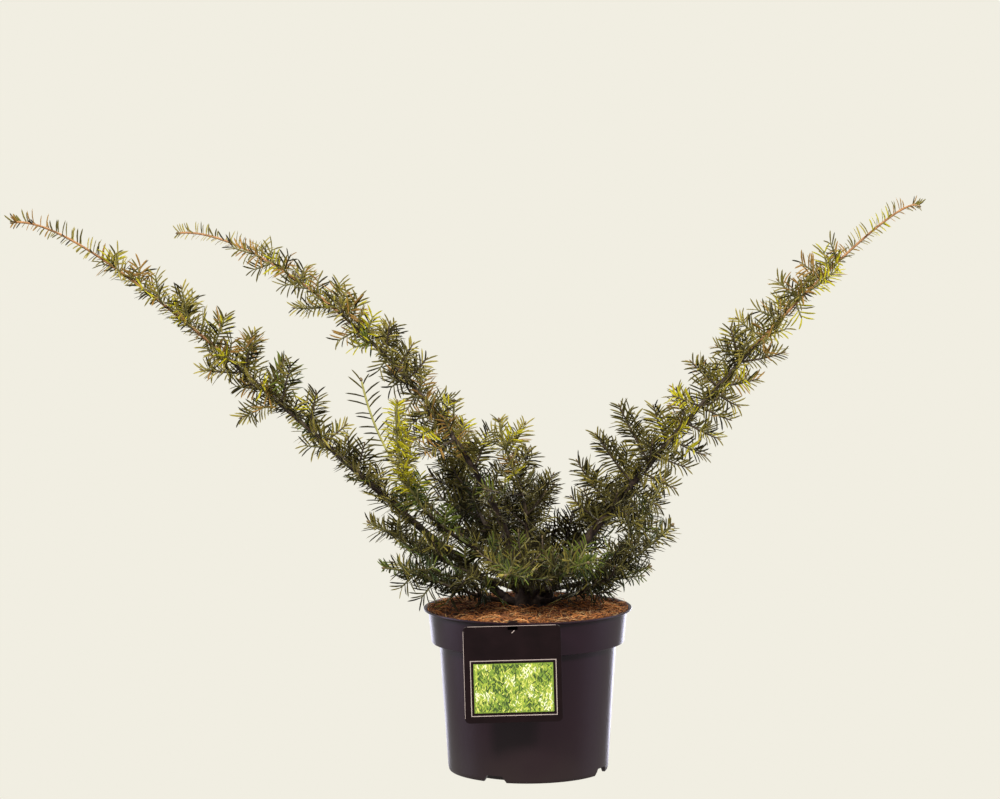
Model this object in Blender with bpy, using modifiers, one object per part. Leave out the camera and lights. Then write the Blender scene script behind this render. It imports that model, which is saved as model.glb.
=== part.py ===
"""English yew in a round nursery pot: three long arching leaders over a bushy middle.

Metres, +Z up, +X to the right and +Y to the back. The origin is the middle of the
pot's flat underside. Every limb is one smooth curve from the stem's fork to its own
tip. Its inner stretch is a bare bough and its outer stretch carries a mass of foliage:
a stem, side shoots set on it by a seeded rule, and needles that stand out of both.
"""
import math
from collections import namedtuple

import bmesh
import bpy
import numpy as np

PLANT = "potted_english_yew"
CLEARANCE = 0.0003

# Pot: a thin tapered shell with a band, a flared lip and a raised gutter round its floor
POT_HEIGHT = 0.149
POT_WALL = 0.0012
LIP_RADIUS = 0.095
LIP_DROP = 0.0014
BAND_TOP = (0.0905, 0.1455)
BAND_FOOT = (0.0878, 0.118)
BODY_TOP = (0.0805, 0.116)
BODY_FOOT = (0.0732, 0.003)
FOOT_RADIUS = 0.0724
FOOT_RING = 0.0028
FLOOR_RADIUS = 0.060
FLOOR_THICKNESS = 0.002
GUTTER_HEIGHT = 0.0085
GUTTER_SLOPE = 0.002
POT_STEPS = 36

# Drain notches cut through the foot ring, the first one measured from the pot's front
NOTCH_COUNT = 4
NOTCH_FIRST = math.radians(-25)
NOTCH_FOOT_WIDTH = 0.024
NOTCH_TOP_WIDTH = 0.015
NOTCH_HEIGHT = 0.006
NOTCH_DEPTH = 0.012

# Soil: a mound that fills the pot nearly to its lip
SOIL_TOP = 0.150
SOIL_CROWN_RADIUS = 0.034
SOIL_SHOULDER = (0.066, 0.1480)
SOIL_EDGE = 0.1435
SOIL_STEPS = 18

# Plant tag: a square card in front of the band, hung on the lip by a narrow hook
TAG_SIDE = 0.087
TAG_CORNER = 0.0045
TAG_THICKNESS = 0.0008
TAG_MIDDLE = (-0.0141, -0.0980, 0.1042)
TAG_TILT = math.radians(1.3)
HOOK_WIDTH = 0.009
HOOK_TAIL = 0.004

# Stem: a short flared foot, cut flat at soil level, that forks at once
STEM_STEPS = 16
STEM_PROFILE = ((0.0058, 0.1810), (0.0078, 0.1750), (0.0096, 0.1660), (0.0112, 0.1590),
                (0.0148, 0.1535), (0.0185, 0.1460))
BOUGH_STEP = 0.020
COLLAR_SWELL = (1.5, 1.12)
COLLAR_RUN = 0.006
COLLAR_DROP = 0.012
COLLAR_STEP = 0.007
CAP_RUN = 0.001

# Growth of the limbs and shoots
PATH_STEP = 0.002
LIMB_TIP_RADIUS = 0.0010
LIMB_TAPER = 1.9
SHOOT_RADIUS = 0.0011
SHOOT_TIP_RADIUS = 0.0006
SHOOT_SHORTEST = 0.011
SHOOT_SHRINKS = (1.0, 0.75, 0.55)
SHOOT_CLEARANCE = 0.0042
SHOOT_ROOT = 0.012
BUD_LENGTH = 0.006
RIM_CLEARANCE = 0.0035
SEED = 6032

# Set of the side shoots round their stem, in radians: those that would grow straight
# down are turned up to its sides, and a flat spray keeps to the sides alone
GOLDEN_ANGLE = math.radians(137.5)
DOWNWARD = math.radians(125)
TURNED_UP = math.radians(60)
FLAT_ANGLE = math.radians(82)
FLAT_SPREAD = math.radians(12)
ROLL_SPREAD = 0.35
PLACE_SPREAD = 0.3
SPLAY = 10
LENGTH_SPREAD = 0.22
LIFT_SPREAD = 0.15
FACING = -0.25

# Needles, larger than life because each one stands for a few
NEEDLE_LENGTH = 0.0185
NEEDLE_LENGTH_SPREAD = 0.12
NEEDLE_SWEEP = math.radians(56)
NEEDLE_SWEEP_SPREAD = math.radians(6)
NEEDLE_CLOSING = math.radians(16)
CLOSING_FROM = 0.6
NEEDLE_LIFT = math.radians(28)
NEEDLE_LIFT_SPREAD = math.radians(12)
NEEDLE_CLEARANCE = 0.0016
NEEDLE_OWN_CLEARANCE = 0.0008
NEEDLE_HALF = 0.0006
NEEDLE_ROOT_HALF = 0.0018
CELL = 0.020

Limb = namedtuple("Limb", "start tip leave arrive pull foot bare habit")
Habit = namedtuple("Habit", "gap reach free spread lift flat ring")
Twig = namedtuple("Twig", "points ups radii underside")

# Habit: shoot spacing, longest shoot, share of the tip without shoots, spread from the
# stem in degrees, upward bend, whether the shoots lie in one flat spray, ring spacing
HABITS = {
    "leader": Habit(0.0240, 0.034, 0.20, 60, 0.40, False, 0.0084),
    "bush": Habit(0.0135, 0.040, 0.12, 56, 0.25, False, 0.0080),
    "flat": Habit(0.0135, 0.042, 0.10, 54, -0.05, True, 0.0080),
    "dense": Habit(0.0095, 0.020, 0.06, 48, 0.30, False, 0.0070),
    "plume": Habit(0.0400, 0.016, 0.60, 50, 0.20, False, 0.0062),
}

# Limb: start as (distance from the axis, height), tip, rise where it leaves and where it
# arrives in degrees, share of the chord that each end pulls, foot radius, bare share
LIMBS = {
    "left_long": Limb((0.018, 0.1560), (-0.450, -0.085, 0.505), 38, -7, (0.32, 0.13), 0.0042, 0.20, "leader"),
    "left_high": Limb((0.010, 0.1830), (-0.321, 0.080, 0.488), 77, -6, (0.33, 0.20), 0.0038, 0.20, "leader"),
    "right_long": Limb((0.018, 0.1595), (0.357, 0.030, 0.512), 61, -28, (0.14, 0.07), 0.0046, 0.13, "leader"),
    "golden": Limb((0.014, 0.1835), (-0.116, -0.062, 0.342), 30, 94, (0.44, 0.48), 0.0024, 0.34, "dense"),
    "sprig": Limb((0.015, 0.1750), (-0.150, 0.004, 0.356), 42, 78, (0.42, 0.40), 0.0022, 0.52, "plume"),
    "left_middle": Limb((0.013, 0.1790), (-0.067, 0.060, 0.331), 46, 94, (0.40, 0.40), 0.0028, 0.14, "bush"),
    "middle_gold": Limb((0.005, 0.1910), (-0.025, -0.028, 0.322), 108, 78, (0.44, 0.34), 0.0026, 0.18, "bush"),
    "middle_back": Limb((0.014, 0.1780), (0.004, 0.108, 0.258), 40, 50, (0.40, 0.30), 0.0024, 0.14, "bush"),
    "left_skirt_high": Limb((0.018, 0.1690), (-0.141, -0.060, 0.235), 18, 26, (0.40, 0.30), 0.0024, 0.22, "bush"),
    "left_skirt_low": Limb((0.020, 0.1555), (-0.127, -0.082, 0.197), 10, 8, (0.40, 0.30), 0.0022, 0.18, "flat"),
    "front_left": Limb((0.016, 0.1680), (-0.020, -0.122, 0.196), 26, 2, (0.40, 0.30), 0.0022, 0.10, "bush"),
    "front_right": Limb((0.016, 0.1640), (0.052, -0.104, 0.204), 30, 14, (0.40, 0.30), 0.0022, 0.10, "bush"),
    "right_low": Limb((0.018, 0.1660), (0.121, -0.042, 0.268), 6, 62, (0.46, 0.42), 0.0026, 0.16, "flat"),
    "right_skirt": Limb((0.019, 0.1560), (0.127, -0.084, 0.234), 10, 40, (0.40, 0.30), 0.0022, 0.16, "flat"),
    "back_left": Limb((0.017, 0.1660), (-0.082, 0.128, 0.282), 38, 55, (0.40, 0.30), 0.0026, 0.14, "bush"),
    "back_right": Limb((0.017, 0.1700), (0.108, 0.130, 0.262), 30, 58, (0.40, 0.30), 0.0026, 0.14, "bush"),
    "rim_right": Limb((0.021, 0.1535), (0.112, 0.034, 0.180), 6, 12, (0.40, 0.30), 0.0018, 0.14, "flat"),
    "back_skirt": Limb((0.018, 0.1580), (0.008, 0.118, 0.196), 20, 8, (0.40, 0.30), 0.0020, 0.14, "flat"),
}

# Shoots that stand out on a limb: share of the whole limb, lean from +X in the front
# view in degrees, length
MARKED = {
    "left_long": ((0.83, 73, 0.013), (0.78, 95, 0.017), (0.74, 98, 0.025), (0.68, 101, 0.035),
                  (0.63, 66, 0.030), (0.60, 156, 0.023), (0.57, 76, 0.037), (0.57, 180, 0.037),
                  (0.53, 179, 0.024), (0.52, 60, 0.034), (0.50, 210, 0.034), (0.49, 75, 0.038),
                  (0.43, 77, 0.034), (0.40, 35, 0.026), (0.39, 179, 0.022), (0.33, 72, 0.026)),
    "left_high": ((0.84, 166, 0.022), (0.81, 66, 0.013), (0.80, 204, 0.018), (0.77, 65, 0.015),
                  (0.73, 197, 0.016), (0.73, 67, 0.015), (0.65, 186, 0.034), (0.63, 73, 0.022),
                  (0.60, 72, 0.024), (0.58, 214, 0.022), (0.56, 67, 0.021), (0.54, 199, 0.017),
                  (0.52, 54, 0.026), (0.50, 239, 0.015), (0.47, 55, 0.027), (0.45, 229, 0.017),
                  (0.44, 45, 0.026), (0.41, 242, 0.022), (0.38, 5, 0.024), (0.37, 226, 0.030),
                  (0.33, 215, 0.035), (0.29, 205, 0.038)),
    "right_long": ((0.82, 115, 0.020), (0.78, 150, 0.025), (0.74, 34, 0.033), (0.72, 141, 0.027),
                   (0.71, -72, 0.015), (0.67, 162, 0.025), (0.63, 13, 0.020), (0.62, 146, 0.030),
                   (0.57, 157, 0.027), (0.56, 9, 0.040), (0.50, 140, 0.034), (0.50, 7, 0.036),
                   (0.49, -35, 0.026), (0.45, 162, 0.026), (0.45, -29, 0.029), (0.44, 122, 0.038),
                   (0.41, -30, 0.033), (0.37, -30, 0.033), (0.36, 111, 0.037), (0.33, -25, 0.030),
                   (0.31, 119, 0.062), (0.29, -30, 0.032), (0.26, 128, 0.058), (0.25, -33, 0.032),
                   (0.21, -36, 0.028), (0.20, 127, 0.056), (0.17, 140, 0.036)),
    "left_skirt_low": ((0.45, 240, 0.017), (0.62, 234, 0.020), (0.78, 226, 0.018)),
}


# Vectors and paths
def unit(vector):
    return vector / max(np.linalg.norm(vector), 1e-12)


def heading(bearing, rise):
    """Direction with a compass bearing from +X and a rise above level, in radians."""
    return np.array([math.cos(rise) * math.cos(bearing), math.cos(rise) * math.sin(bearing), math.sin(rise)])


def even_path(points, step):
    """Points re-spaced evenly along the line they follow."""
    runs = np.linalg.norm(np.diff(points, axis=0), axis=1)
    along = np.concatenate([[0.0], np.cumsum(runs)])
    count = max(2, int(round(along[-1] / step)) + 1)
    targets = np.linspace(0.0, along[-1], count)
    return np.stack([np.interp(targets, along, points[:, axis]) for axis in range(3)], axis=1)


def bezier(controls, count=160):
    """Cubic curve through its four control points."""
    share = np.linspace(0.0, 1.0, count)[:, None]
    rest = 1.0 - share
    weights = (rest ** 3, 3 * rest ** 2 * share, 3 * rest * share ** 2, share ** 3)
    return sum(weight * control for weight, control in zip(weights, controls))


def limb_start(limb):
    bearing = math.atan2(limb.tip[1], limb.tip[0])
    out, height = limb.start
    return np.array([out * math.cos(bearing), out * math.sin(bearing), height])


def limb_path(limb):
    """The limb's whole curve, from its start at the stem to its tip."""
    bearing = math.atan2(limb.tip[1], limb.tip[0])
    foot = limb_start(limb)
    tip = np.array(limb.tip)
    chord = np.linalg.norm(tip - foot)
    knee = foot + heading(bearing, math.radians(limb.leave)) * chord * limb.pull[0]
    nape = tip - heading(bearing, math.radians(limb.arrive)) * chord * limb.pull[1]
    return even_path(bezier((foot, knee, nape, tip)), PATH_STEP)


def limb_radius(limb, share):
    return LIMB_TIP_RADIUS + (limb.foot - LIMB_TIP_RADIUS) * (1.0 - share) ** LIMB_TAPER


def frames_along(path):
    """Tangents and the upward normals that turn with them."""
    tangents = np.gradient(path, axis=0)
    tangents /= np.linalg.norm(tangents, axis=1)[:, None]
    ups = []
    up = np.array([0.0, 0.0, 1.0]) if abs(tangents[0][2]) < 0.95 else np.array([0.0, -1.0, 0.0])
    for tangent in tangents:
        wanted = 0.8 * up + 0.2 * np.array([0.0, 0.0, 1.0])
        up = unit(wanted - tangent * (wanted @ tangent))
        ups.append(up)
    return tangents, np.array(ups)


# Space taken up by limbs, shoots and needles
def segment_gaps(start, end, starts, ends):
    """Least distance from one segment to each of many others."""
    run = end - start
    runs = ends - starts
    offset = start - starts
    own = max(run @ run, 1e-18)
    others = np.maximum((runs * runs).sum(axis=1), 1e-18)
    cross = runs @ run
    lead = offset @ run
    lag = (runs * offset).sum(axis=1)
    spread = own * others - cross * cross
    along = np.where(spread > 1e-24, (cross * lag - lead * others) / np.maximum(spread, 1e-24), 0.0)
    along = np.clip(along, 0.0, 1.0)
    across = np.clip((cross * along + lag) / others, 0.0, 1.0)
    along = np.clip((cross * across - lead) / own, 0.0, 1.0)
    gaps = offset + along[:, None] * run - across[:, None] * runs
    return np.linalg.norm(gaps, axis=1)


class Space:
    """Segments kept by cell, so that only near ones are compared."""

    def __init__(self):
        self.cells = {}

    def add(self, start, end, radius, mass, twig):
        pieces = max(1, math.ceil(np.linalg.norm(end - start) / CELL))
        for index in range(pieces):
            near = start + (end - start) * index / pieces
            far = start + (end - start) * (index + 1) / pieces
            key = tuple(np.floor((near + far) / 2 / CELL).astype(int))
            self.cells.setdefault(key, []).append((*near, *far, radius, mass, twig))

    def add_path(self, path, radii, mass, twig):
        for index in range(len(path) - 1):
            self.add(path[index], path[index + 1], radii[index], mass, twig)

    def nearest(self, start, end, mass, twig):
        """Gap to other masses, and gap to other twigs of the same mass."""
        middle = np.floor((start + end) / 2 / CELL).astype(int)
        rows = []
        for dx in (-1, 0, 1):
            for dy in (-1, 0, 1):
                for dz in (-1, 0, 1):
                    rows += self.cells.get((middle[0] + dx, middle[1] + dy, middle[2] + dz), ())
        if not rows:
            return 1.0, 1.0
        table = np.array(rows)
        gaps = segment_gaps(start, end, table[:, 0:3], table[:, 3:6]) - table[:, 6]
        other = table[:, 7] != mass
        own = ~other & (table[:, 8] != twig)
        return (gaps[other].min() if other.any() else 1.0), (gaps[own].min() if own.any() else 1.0)


def above_pot(point):
    """Height that a point has to spare over the soil and the pot's lip."""
    return point[2] - POT_HEIGHT - RIM_CLEARANCE


# Growth rule
def marked_shoots(name, limb, path):
    """Shoots with a place, lean and length of their own, as seen from the front."""
    for share, lean, length in MARKED.get(name, ()):
        index = int((share - limb.bare) / (1.0 - limb.bare) * (len(path) - 1))
        angle = math.radians(lean)
        yield index, unit(np.array([math.cos(angle), FACING, math.sin(angle)])), length, LIFT_SPREAD


def shoot_curve(foot, direction, length, lift):
    """A shoot's path: straight out at first, then bent up by its lift."""
    bent = unit(direction + np.array([0.0, 0.0, lift]))
    middle = foot + direction * length / 2
    controls = (foot, foot + direction * length / 3, middle + direction * length / 8, middle + bent * length / 2)
    return even_path(bezier(controls, 24), PATH_STEP)


def shoot_swell(share):
    """Share of the longest shoot's length: half at the foot and the tip, whole between them."""
    return 0.45 + 0.55 * math.sin(math.pi * (0.24 + 0.76 * share) ** 0.8)


def ruled_shoots(limb, path, draws):
    """Shoots set round the stem by the golden angle, or to its two sides in a flat spray."""
    habit = HABITS[limb.habit]
    tangents, ups = frames_along(path)
    length = PATH_STEP * (len(path) - 1)
    reach = length * (1.0 - habit.free)
    count = int(reach / habit.gap)
    for number in range(count):
        jitter, roll, stretch, splay, curl = draws.uniform(-1.0, 1.0, 5)
        share = (number + 0.5 + PLACE_SPREAD * jitter) / count * (1.0 - habit.free)
        index = min(len(path) - 2, int(share * (len(path) - 1)))
        if habit.flat:
            angle = (FLAT_ANGLE + FLAT_SPREAD * roll) * (1 if number % 2 else -1)
        else:
            angle = (number * GOLDEN_ANGLE + ROLL_SPREAD * roll + math.pi) % (2 * math.pi) - math.pi
            if abs(angle) > DOWNWARD:
                angle -= math.copysign(TURNED_UP, angle)
        tangent, up = tangents[index], ups[index]
        radial = math.cos(angle) * up + math.sin(angle) * np.cross(tangent, up)
        spread = math.radians(habit.spread + SPLAY * splay)
        direction = math.cos(spread) * tangent + math.sin(spread) * radial
        size = habit.reach * shoot_swell(share / (1.0 - habit.free)) * (1.0 + LENGTH_SPREAD * stretch)
        yield index, unit(direction), size, habit.lift + LIFT_SPREAD * curl


def with_bud(path):
    """A shoot's path carried on to the point of the bud that ends it."""
    return np.vstack([path, path[-1] + unit(path[-1] - path[-2]) * BUD_LENGTH])


def fits(path, radius, mass, space):
    """Whether a shoot keeps clear of other masses and stays over the pot."""
    for index in range(2, len(path) - 1):
        if above_pot(path[index + 1]) < radius:
            return False
        other, own = space.nearest(path[index], path[index + 1], mass, 0)
        if other < SHOOT_CLEARANCE + radius:
            return False
        if index * PATH_STEP > SHOOT_ROOT and own < SHOOT_CLEARANCE / 2 + radius:
            return False
    return True


def grow_shoots(name, limb, stem, mass, space):
    """Side shoots that fit, each shortened step by step before it is given up."""
    draws = np.random.RandomState(SEED + mass)
    plans = list(marked_shoots(name, limb, stem)) + list(ruled_shoots(limb, stem, draws))
    shoots = []
    for index, direction, length, lift in plans:
        for shrink in SHOOT_SHRINKS:
            if length * shrink < SHOOT_SHORTEST:
                break
            path = shoot_curve(stem[index], direction, length * shrink, lift)
            reach = with_bud(path)
            if fits(reach, SHOOT_RADIUS, mass, space):
                twig = len(shoots) + 1
                space.add_path(reach, [SHOOT_RADIUS] * len(reach), mass, twig)
                shoots.append(path)
                break
    return shoots


# Foliage solids
def ringed_twig(path, radii, ring, underside):
    """A three-sided twig: the places of its rings, their radii and the normals that point up."""
    points = even_path(path, ring)
    picks = np.linspace(0, len(path) - 1, len(points)).round().astype(int)
    _, ups = frames_along(path)
    return Twig(points, ups[picks], np.asarray(radii)[picks], underside)


def twig_ring(twig, index, tangent):
    up = twig.ups[index]
    up = unit(up - tangent * (up @ tangent))
    side = np.cross(tangent, up)
    corners = []
    for corner in range(3):
        angle = math.radians(90 + 120 * corner)
        corners.append(twig.points[index] + twig.radii[index] * (math.cos(angle) * side + math.sin(angle) * up))
    return corners, side, up


def needle_tip(centre, tangent, side, up, face, share, draws):
    """Where the needle of one face ends: out to the left, down, or out to the right."""
    wobble, stretch, rise = draws.uniform(-1.0, 1.0, 3)
    closing = NEEDLE_CLOSING * max(0.0, share - CLOSING_FROM) / (1.0 - CLOSING_FROM)
    sweep = NEEDLE_SWEEP - closing + NEEDLE_SWEEP_SPREAD * wobble
    lift = NEEDLE_LIFT + NEEDLE_LIFT_SPREAD * rise
    sideways = {0: -1.0, 1: 0.35 * wobble, 2: 1.0}[face]
    radial = unit(sideways * math.cos(lift) * side + (-1.0 if face == 1 else math.sin(lift)) * up)
    direction = math.cos(sweep) * tangent + math.sin(sweep) * radial
    return centre + direction * NEEDLE_LENGTH * (0.92 + NEEDLE_LENGTH_SPREAD * stretch)


def build_twig(name, twig, mass, number, space, draws):
    """Loft the twig and raise a needle on each face whose needle has room."""
    mesh = bmesh.new()
    rings = []
    frames = []
    tangents = np.gradient(twig.points, axis=0)
    for index, tangent in enumerate(tangents):
        corners, side, up = twig_ring(twig, index, unit(tangent))
        rings.append([mesh.verts.new(corner) for corner in corners])
        frames.append((unit(tangent), side, up))
    mesh.faces.new(reversed(rings[0]))
    last = len(rings) - 2
    for index in range(len(rings) - 1):
        share = index / max(1, last)
        for face in range(3):
            quad = (rings[index][face], rings[index][(face + 1) % 3],
                    rings[index + 1][(face + 1) % 3], rings[index + 1][face])
            bare = index == 0 or (face == 1 and (index % 2 or not twig.underside))
            centre = sum((np.array(vert.co) for vert in quad), np.zeros(3)) / 4
            tip = needle_tip(centre, *frames[index], face, share, draws)
            if bare or not needle_fits(centre, tip, mass, number, space):
                mesh.faces.new(quad)
                continue
            key = 1000 * (number + 1) + 3 * index + face
            space.add(centre, (centre + tip) / 2, NEEDLE_ROOT_HALF, mass, key)
            space.add((centre + tip) / 2, tip, NEEDLE_HALF, mass, key)
            apex = mesh.verts.new(tip)
            for corner in range(4):
                mesh.faces.new((quad[corner], quad[(corner + 1) % 4], apex))
    end = mesh.verts.new(twig.points[-1] + frames[-1][0] * BUD_LENGTH)
    for corner in range(3):
        mesh.faces.new((rings[-1][corner], rings[-1][(corner + 1) % 3], end))
    mesh.normal_update()
    return mesh_object(name, mesh)


def needle_fits(centre, tip, mass, number, space):
    if above_pot(tip) < 0.0:
        return False
    if space.nearest((centre + tip) / 2, tip, mass, number)[0] < NEEDLE_CLEARANCE:
        return False
    if space.nearest(centre, (centre + tip) / 2, mass, number)[0] < NEEDLE_CLEARANCE + NEEDLE_ROOT_HALF:
        return False
    outer = centre + 0.3 * (tip - centre)
    return space.nearest(outer, tip, mass, number)[1] > NEEDLE_OWN_CLEARANCE


# Scene building
def mesh_object(name, mesh):
    data = bpy.data.meshes.new(name)
    mesh.to_mesh(data)
    mesh.free()
    return bpy.data.objects.new(name, data)


def collection(name):
    made = bpy.data.collections.new(name)
    bpy.context.scene.collection.children.link(made)
    return made


def material(name, colour, roughness):
    made = bpy.data.materials.new(name)
    made.use_nodes = True
    shader = made.node_tree.nodes["Principled BSDF"]
    shader.inputs["Base Color"].default_value = (*colour, 1.0)
    shader.inputs["Roughness"].default_value = roughness
    shader.inputs["Metallic"].default_value = 0.0
    return made


def evaluated_copy(obj):
    """The object's final mesh, with its modifiers or curve turned into plain faces."""
    bpy.context.view_layer.update()
    graph = bpy.context.evaluated_depsgraph_get()
    return bpy.data.meshes.new_from_object(obj.evaluated_get(graph))


def union(base, others):
    """Join objects to a base by one Boolean on their collection, applied."""
    group = collection(base.name + "_pieces")
    for other in others:
        group.objects.link(other)
    joint = base.modifiers.new("join", "BOOLEAN")
    joint.operation = "UNION"
    joint.operand_type = "COLLECTION"
    joint.collection = group
    joint.solver = "EXACT"
    joined = evaluated_copy(base)
    base.modifiers.clear()
    base.data = joined
    for other in list(group.objects):
        bpy.data.objects.remove(other)
    bpy.data.collections.remove(group)
    return base


def turned(name, profile, steps, parts):
    """A solid turned from a profile that runs down its outer side."""
    data = bpy.data.meshes.new(name)
    points = [(radius, 0.0, height) for radius, height in profile]
    data.from_pydata(points, [(index, index + 1) for index in range(len(points) - 1)], [])
    solid = bpy.data.objects.new(name, data)
    parts.objects.link(solid)
    screw = solid.modifiers.new("turn", "SCREW")
    screw.steps = steps
    screw.render_steps = steps
    screw.use_merge_vertices = True
    screw.merge_threshold = 0.00005
    screw.use_smooth_shade = True
    return solid


def tube(name, points, radii, sides, parts):
    """A round tube with its own radius at each point, made a closed mesh."""
    data = bpy.data.curves.new(name, "CURVE")
    data.dimensions = "3D"
    data.bevel_depth = 1.0
    data.bevel_resolution = sides
    data.use_fill_caps = True
    line = data.splines.new("POLY")
    line.points.add(len(points) - 1)
    for place, point, radius in zip(line.points, points, radii):
        place.co = (*point, 1.0)
        place.radius = radius
    curve = bpy.data.objects.new(name + "_line", data)
    parts.objects.link(curve)
    data = evaluated_copy(curve)
    bpy.data.objects.remove(curve)
    mesh = bmesh.new()
    mesh.from_mesh(data)
    bmesh.ops.remove_doubles(mesh, verts=mesh.verts, dist=0.00001)
    solid = mesh_object(name, mesh)
    parts.objects.link(solid)
    return solid


def squared_path(points, leaving, arriving, spare=CAP_RUN):
    """A path with a short run along each end's own direction, so that its caps are square."""
    first = points[0] + unit(leaving) * spare
    last = points[-1] - unit(arriving) * spare
    return np.vstack([points[:1], first, points[1:-1], last, points[-1:]])


# Pot, soil and tag
def inner(point):
    """A point of the pot's inner face, one wall in from the outer face."""
    return point[0] - POT_WALL, point[1] + POT_WALL * 0.6


def pot_inside():
    """Inner face from the middle of the floor up to the lip."""
    gutter_top = GUTTER_HEIGHT + FLOOR_THICKNESS
    foot = inner(BODY_FOOT)[0] + (BODY_TOP[0] - BODY_FOOT[0]) * gutter_top / BODY_TOP[1]
    return [(0.0, FLOOR_THICKNESS), (FLOOR_RADIUS - GUTTER_SLOPE, FLOOR_THICKNESS),
            (FLOOR_RADIUS, gutter_top), (foot, gutter_top),
            inner(BODY_TOP), inner(BAND_FOOT), inner(BAND_TOP), (LIP_RADIUS - POT_WALL, POT_HEIGHT)]


def pot_outside():
    """Outer face from the lip down to the foot ring, the gutter and the flat underside."""
    ring = FOOT_RADIUS - FOOT_RING
    return [(LIP_RADIUS, POT_HEIGHT), (LIP_RADIUS, POT_HEIGHT - LIP_DROP), BAND_TOP, BAND_FOOT, BODY_TOP,
            BODY_FOOT, (FOOT_RADIUS, 0.0), (ring, 0.0), (ring - GUTTER_SLOPE / 2, GUTTER_HEIGHT),
            (FLOOR_RADIUS + GUTTER_SLOPE, GUTTER_HEIGHT), (FLOOR_RADIUS, 0.0), (0.0, 0.0)]


def notch_cutter(angle, cutters):
    """A prism, wide at the foot, that opens the foot ring at one angle from the front."""
    mesh = bmesh.new()
    bmesh.ops.create_cube(mesh, size=1.0)
    middle = FOOT_RADIUS - FOOT_RING / 2
    for vert in mesh.verts:
        width = NOTCH_TOP_WIDTH if vert.co.z > 0 else NOTCH_FOOT_WIDTH
        height = NOTCH_HEIGHT if vert.co.z > 0 else -0.001
        across = -vert.co.x * width
        out = middle + vert.co.y * NOTCH_DEPTH
        vert.co = (out * math.sin(angle) + across * math.cos(angle),
                   -out * math.cos(angle) + across * math.sin(angle), height)
    cutter = mesh_object("notch_cutter", mesh)
    cutter.hide_render = True
    cutter.display_type = "WIRE"
    cutters.objects.link(cutter)


def make_pot(parts, cutters):
    pot = turned("pot", pot_inside() + pot_outside(), POT_STEPS, parts)
    for number in range(NOTCH_COUNT):
        notch_cutter(NOTCH_FIRST + number * 2 * math.pi / NOTCH_COUNT, cutters)
    cut = pot.modifiers.new("drain_notches", "BOOLEAN")
    cut.operation = "DIFFERENCE"
    cut.operand_type = "COLLECTION"
    cut.collection = cutters
    cut.solver = "EXACT"
    pot.data.materials.append(material("pot_plastic", (0.035, 0.027, 0.032), 0.42))


def make_soil(parts):
    """Fill that follows the pot's inner face, a clearance inside it, under a low mound."""
    wall = [(radius - CLEARANCE, height + CLEARANCE) for radius, height in pot_inside()[1:6]]
    step = pot_inside()[5]
    wall[4] = (step[0] - CLEARANCE, step[1] + CLEARANCE)
    slope = (BAND_TOP[0] - BAND_FOOT[0]) / (BAND_TOP[1] - BAND_FOOT[1])
    edge = (wall[4][0] + slope * (SOIL_EDGE - wall[4][1]), SOIL_EDGE)
    top = [(0.0, SOIL_TOP), (SOIL_CROWN_RADIUS, SOIL_TOP), SOIL_SHOULDER, edge]
    profile = top + wall[::-1] + [(0.0, FLOOR_THICKNESS + CLEARANCE)]
    soil = turned("soil", profile, SOIL_STEPS, parts)
    soil.data.materials.append(material("bark_soil", (0.16, 0.072, 0.030), 0.95))


def make_tag(parts):
    """A rounded square card with a hook that goes over the lip and down inside it."""
    outline = bpy.data.curves.new("plant_tag", "CURVE")
    outline.dimensions = "2D"
    outline.fill_mode = "BOTH"
    outline.extrude = TAG_THICKNESS / 2
    line = outline.splines.new("POLY")
    half = TAG_SIDE / 2 - TAG_CORNER
    points = []
    for corner in range(4):
        for turn in range(3):
            angle = math.radians(90 * corner + 45 * turn)
            middle = (half if corner in (0, 3) else -half, half if corner in (0, 1) else -half)
            points.append((middle[0] + TAG_CORNER * math.cos(angle), middle[1] + TAG_CORNER * math.sin(angle)))
    line.points.add(len(points) - 1)
    for place, point in zip(line.points, points):
        place.co = (*point, 0.0, 1.0)
    line.use_cyclic_u = True
    card = bpy.data.objects.new("plant_tag_outline", outline)
    card.location = TAG_MIDDLE
    card.rotation_euler = (math.radians(90), -TAG_TILT, 0.0)
    parts.objects.link(card)
    tag = placed_mesh(card, "plant_tag", parts)
    hook = placed_mesh(tag_hook(parts), "plant_tag_hook", parts)
    parts.objects.unlink(hook)
    union(tag, [hook])
    tag.data.materials.clear()
    tag.data.materials.append(material("tag_card", (0.012, 0.010, 0.011), 0.5))


def tag_hook(parts):
    """The hook's side outline, drawn out to its width."""
    front = -TAG_MIDDLE[1] + TAG_THICKNESS / 2
    back = -TAG_MIDDLE[1] - TAG_THICKNESS / 2
    foot = TAG_MIDDLE[2] + TAG_SIDE / 2 - 0.004
    top = POT_HEIGHT + CLEARANCE
    offset = abs(TAG_MIDDLE[0]) + HOOK_WIDTH / 2
    inside = math.sqrt((inner(BAND_TOP)[0] - 2 * CLEARANCE) ** 2 - offset ** 2)
    tail = POT_HEIGHT - HOOK_TAIL
    points = [(front, foot), (front, top + TAG_THICKNESS), (inside - TAG_THICKNESS, top + TAG_THICKNESS),
              (inside - TAG_THICKNESS, tail), (inside, tail), (inside, top), (back, top), (back, foot)]
    outline = bpy.data.curves.new("hook", "CURVE")
    outline.dimensions = "2D"
    outline.fill_mode = "BOTH"
    outline.extrude = HOOK_WIDTH / 2
    line = outline.splines.new("POLY")
    line.points.add(len(points) - 1)
    for place, (out, height) in zip(line.points, points):
        place.co = (-out, height, 0.0, 1.0)
    line.use_cyclic_u = True
    hook = bpy.data.objects.new("hook_outline", outline)
    hook.location = (TAG_MIDDLE[0], 0.0, 0.0)
    hook.rotation_euler = (math.radians(90), 0.0, math.radians(90))
    parts.objects.link(hook)
    return hook


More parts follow.
